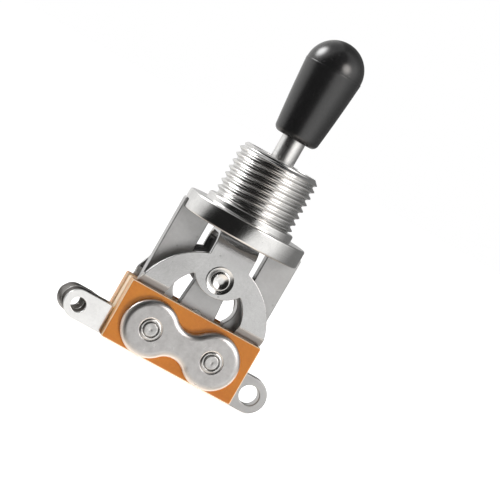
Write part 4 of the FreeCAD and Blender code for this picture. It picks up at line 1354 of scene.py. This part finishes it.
# The lamps: direction, distance and size in metres, and share of the lamp power.
LAMPS = {
    "left soft box": (*LEFT_BOX, 0.40, 0.13, 1.8),
    "right soft box": (*RIGHT_BOX, 0.40, 0.16, 0.35),
    "key panel": (46, -25, 0.40, 0.12, 2.1),
    "overhead panel": (-20, 70, 0.45, 0.30, 0.6),
}

# What the metal reflects: brightness by azimuth, dark where the room behind the camera is, and the
# colours of the two soft boxes.
TENT_STOPS = ((-180, 0.90), (-150, 0.85), (-120, 1.05), (-94, 0.75), (-80, 0.06), (-70, 0.012),
              (-8, 0.012), (0, 0.08), (9, 0.78), (17, 1.02), (48, 1.18), (82, 0.42), (104, 0.20),
              (150, 0.20), (168, 0.65))
TENT_SPOTS = ((LEFT_BOX, (11.5, 11.5, 11.5)), (RIGHT_BOX, (6.0, 5.7, 5.5)))
TENT_LEAN = 36


def direction(azimuth, elevation):
    """A unit vector."""
    around, up = math.radians(azimuth), math.radians(elevation)
    return Vector((math.sin(around) * math.cos(up), -math.cos(around) * math.cos(up), math.sin(up)))


def soft_box(name, azimuth, elevation, distance, size, power):
    """A square lamp that faces the switch."""
    data = bpy.data.lights.new(name, "AREA")
    data.energy = power
    data.shape = "SQUARE"
    data.size = size
    lamp = new_object(name, data)
    place = direction(azimuth, elevation) * distance
    lamp.matrix_world = Matrix.Translation(place) @ place.to_track_quat("Z", "Y").to_matrix().to_4x4()
    lamp.visible_glossy = False


def tent_material():
    """The reflected studio: its brightness follows the azimuth, which leans with height, and goes over
    to greys overhead and to the pale floor underneath, with two round spots for the soft boxes."""
    material = bpy.data.materials.new("studio tent")
    tree = empty_tree(material)
    place = object_place(tree)
    x, y, height = parts_of(tree, place)
    angle = math_of(tree, "ARCTAN2", x, times(tree, y, -1.0))
    lean = times(tree, height, math.radians(TENT_LEAN) / TENT_RADIUS)
    ramp = add(tree, "ShaderNodeValToRGB", {
        0: spread(tree, math_of(tree, "SUBTRACT", angle, lean), -math.pi, math.pi)})
    elements = ramp.color_ramp.elements
    for number, (azimuth, level) in enumerate(TENT_STOPS):
        element = elements[number] if number < 2 else elements.new(1.0)
        element.position = (azimuth + 180) / 360
        element.color = (level, level * 0.995, level * 0.985, 1)
    lit = ramp.outputs[0]
    bright = add(tree, "ShaderNodeSeparateColor", {0: lit}).outputs[0]
    above = mix_colours(tree, bright, (0.08, 0.08, 0.08), (0.50, 0.50, 0.50))
    below = mix_colours(tree, bright, (0.16, 0.15, 0.14), (1.25, 1.14, 1.02))
    under = (1.15, 1.05, 0.95)
    for start, end, shade in ((0.55, 0.90, above), (-0.35, -0.70, below), (-0.80, -0.92, under)):
        lit = mix_colours(tree, spread(tree, height, TENT_RADIUS * start, TENT_RADIUS * end), lit, shade)
    towards = add(tree, "ShaderNodeVectorMath", {0: place}, operation="NORMALIZE").outputs[0]
    spot_edge, spot_core = math.cos(math.radians(19)), math.cos(math.radians(7))
    for box, shade in TENT_SPOTS:
        close = add(tree, "ShaderNodeVectorMath", {0: towards, 1: direction(*box)},
                    operation="DOT_PRODUCT").outputs["Value"]
        lit = mix_colours(tree, spread(tree, close, spot_edge, spot_core), lit, shade)
    glow = add(tree, "ShaderNodeEmission", {0: lit, 1: 1.0})
    add(tree, "ShaderNodeOutputMaterial", {0: glow.outputs[0]})
    return material


def floor_material():
    """A pale floor that shows as white to the camera and keeps the shadow."""
    camera_glow = 0.85
    material, tree, shader, output = new_material("pale floor")
    shader.inputs["Base Color"].default_value = (0.9, 0.9, 0.9, 1)
    shader.inputs["Roughness"].default_value = 0.8
    shader.inputs["Specular IOR Level"].default_value = 0.1
    seen = add(tree, "ShaderNodeLightPath").outputs["Is Camera Ray"]
    glow = add(tree, "ShaderNodeEmission", {1: times(tree, seen, camera_glow)})
    lit = add(tree, "ShaderNodeAddShader", {0: shader.outputs[0], 1: glow.outputs[0]})
    tree.links.new(lit.outputs[0], output.inputs[0])
    return material


def grid_object(name, points, across, along, material):
    """A stage surface from a grid of points in metres."""
    index = np.arange(across * along).reshape(along, across)
    faces = np.stack([index[:-1, :-1], index[:-1, 1:], index[1:, 1:], index[1:, :-1]], -1).reshape(-1, 4)
    made = new_object(name, new_mesh(name, points, faces.tolist(), material))
    return made


def lay_floor():
    """A wide floor just under the switch."""
    half, clearance = 2.0, 0.05 * MM
    side = np.linspace(-half, half, 3)
    floor = point_rows(side, side)
    floor = np.column_stack([floor, np.full(len(floor), CAD_BOX[0][2] - clearance)])
    ground = grid_object("floor", floor, 3, 3, floor_material())
    ground.visible_glossy = False
    ground.visible_shadow = False


def hang_tent():
    """A sphere round the switch that only reflections show: a point at azimuth a and elevation e is
    the radius times (sin a cos e, -cos a cos e, sin e)."""
    across, along = 97, 49
    angles = point_rows(np.radians(np.linspace(-180, 180, across)), np.radians(np.linspace(-90, 90, along)))
    around, up = angles.T
    points = np.stack([np.sin(around) * np.cos(up), -np.cos(around) * np.cos(up), np.sin(up)], -1)
    tent = grid_object("tent", TENT_RADIUS * points, across, along, tent_material())
    tent.visible_camera = False
    tent.visible_diffuse = False
    tent.visible_shadow = False
    tent.visible_transmission = False


def light_world():
    """An even dim light, which the camera, reflections and clear materials see as white."""
    fill = 0.16
    world = bpy.data.worlds.new("studio")
    bpy.context.scene.world = world
    tree = empty_tree(world)
    path = add(tree, "ShaderNodeLightPath").outputs
    seen = math_of(tree, "ADD", math_of(tree, "ADD", path["Is Camera Ray"], path["Is Glossy Ray"]),
                   path["Is Transmission Ray"], clamp=True)
    glow = add(tree, "ShaderNodeBackground", {0: (1, 1, 1, 1), 1: spread(tree, seen, 0.0, 1.0, fill, 1.0)})
    add(tree, "ShaderNodeOutputWorld", {0: glow.outputs[0]})


def set_camera(values):
    """The camera at the photograph's angle, turned about its own axis as the photograph is."""
    azimuth, elevation, roll_angle = -12.599, 3.165, 29.924
    target = Vector((0.0023, 0.0, -0.003484))
    back = direction(azimuth, elevation)
    around, roll = math.radians(azimuth), math.radians(roll_angle)
    right = Vector((math.cos(around), math.sin(around), 0))
    up = right.cross(-back)
    across = right * math.cos(roll) + up * math.sin(roll)
    upwards = up * math.cos(roll) - right * math.sin(roll)
    data = bpy.data.cameras.new("camera")
    data.sensor_width = 36
    data.lens = values.lens
    data.clip_start = 0.01
    data.clip_end = 20
    camera = new_object("camera", data)
    turn = Matrix((across, upwards, back)).transposed().to_4x4()
    camera.matrix_world = Matrix.Translation(target + back * values.distance) @ turn
    bpy.context.scene.camera = camera


class Stage(bpy.types.Operator):
    """Build the floor, the reflected tent, the lamps, the world and the camera."""
    bl_idname = "switch.stage"
    bl_label = "Stage"

    def execute(self, context):
        values = context.scene.switch_stage
        lay_floor()
        hang_tent()
        for name, (azimuth, elevation, distance, size, share) in LAMPS.items():
            soft_box(name, azimuth, elevation, distance, size, values.lamp_power * share)
        light_world()
        set_camera(values)
        context.scene.view_settings.view_transform = "Standard"
        return {"FINISHED"}


class SwitchPanel(bpy.types.Panel):
    """Lists the steps in the sidebar."""
    bl_idname = "VIEW3D_PT_switch"
    bl_label = "Pickup selector switch"
    bl_space_type = "VIEW_3D"
    bl_region_type = "UI"
    bl_category = "Switch"

    def draw(self, context):
        for group in PROPERTIES:
            box = self.layout.box()
            values = getattr(context.scene, group)
            for name in values.__annotations__:
                box.prop(values, name)
        for step in STEPS:
            self.layout.operator(step.bl_idname)


PROPERTIES = {
    "switch_neck": SwitchNeck,
    "switch_tip": SwitchTip,
    "switch_sheets": SwitchSheets,
    "switch_finish": SwitchFinish,
    "switch_stage": SwitchStage,
}
STEPS = (MaterialGroups, Stage, CarriedNodes, Bushing, Knob, Bracket, FramePlate, Paddle, PivotPin,
         StackRivets, ClampPlates, OuterPlates, Insulators, Contacts)


def register():
    """Makes the classes known and hangs the property groups on the scene."""
    for name, group in PROPERTIES.items():
        bpy.utils.register_class(group)
        setattr(bpy.types.Scene, name, bpy.props.PointerProperty(type=group))
    for made in (*STEPS, SwitchPanel):
        bpy.utils.register_class(made)


def unregister():
    """Takes them away again."""
    for made in reversed((*STEPS, SwitchPanel)):
        bpy.utils.unregister_class(made)
    for name, group in PROPERTIES.items():
        delattr(bpy.types.Scene, name)
        bpy.utils.unregister_class(group)


def main():
    """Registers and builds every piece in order."""
    register()
    bpy.ops.switch.material_groups()
    bpy.ops.switch.stage()
    bpy.ops.switch.carried_nodes()
    bpy.ops.switch.bushing()
    bpy.ops.switch.knob()
    bpy.ops.switch.bracket()
    bpy.ops.switch.frame_plate()
    bpy.ops.switch.paddle()
    bpy.ops.switch.pivot_pin()
    bpy.ops.switch.stack_rivets()
    bpy.ops.switch.clamp_plates()
    bpy.ops.switch.outer_plates()
    bpy.ops.switch.insulators()
    bpy.ops.switch.contacts()


if __name__ == "__main__":
    main()
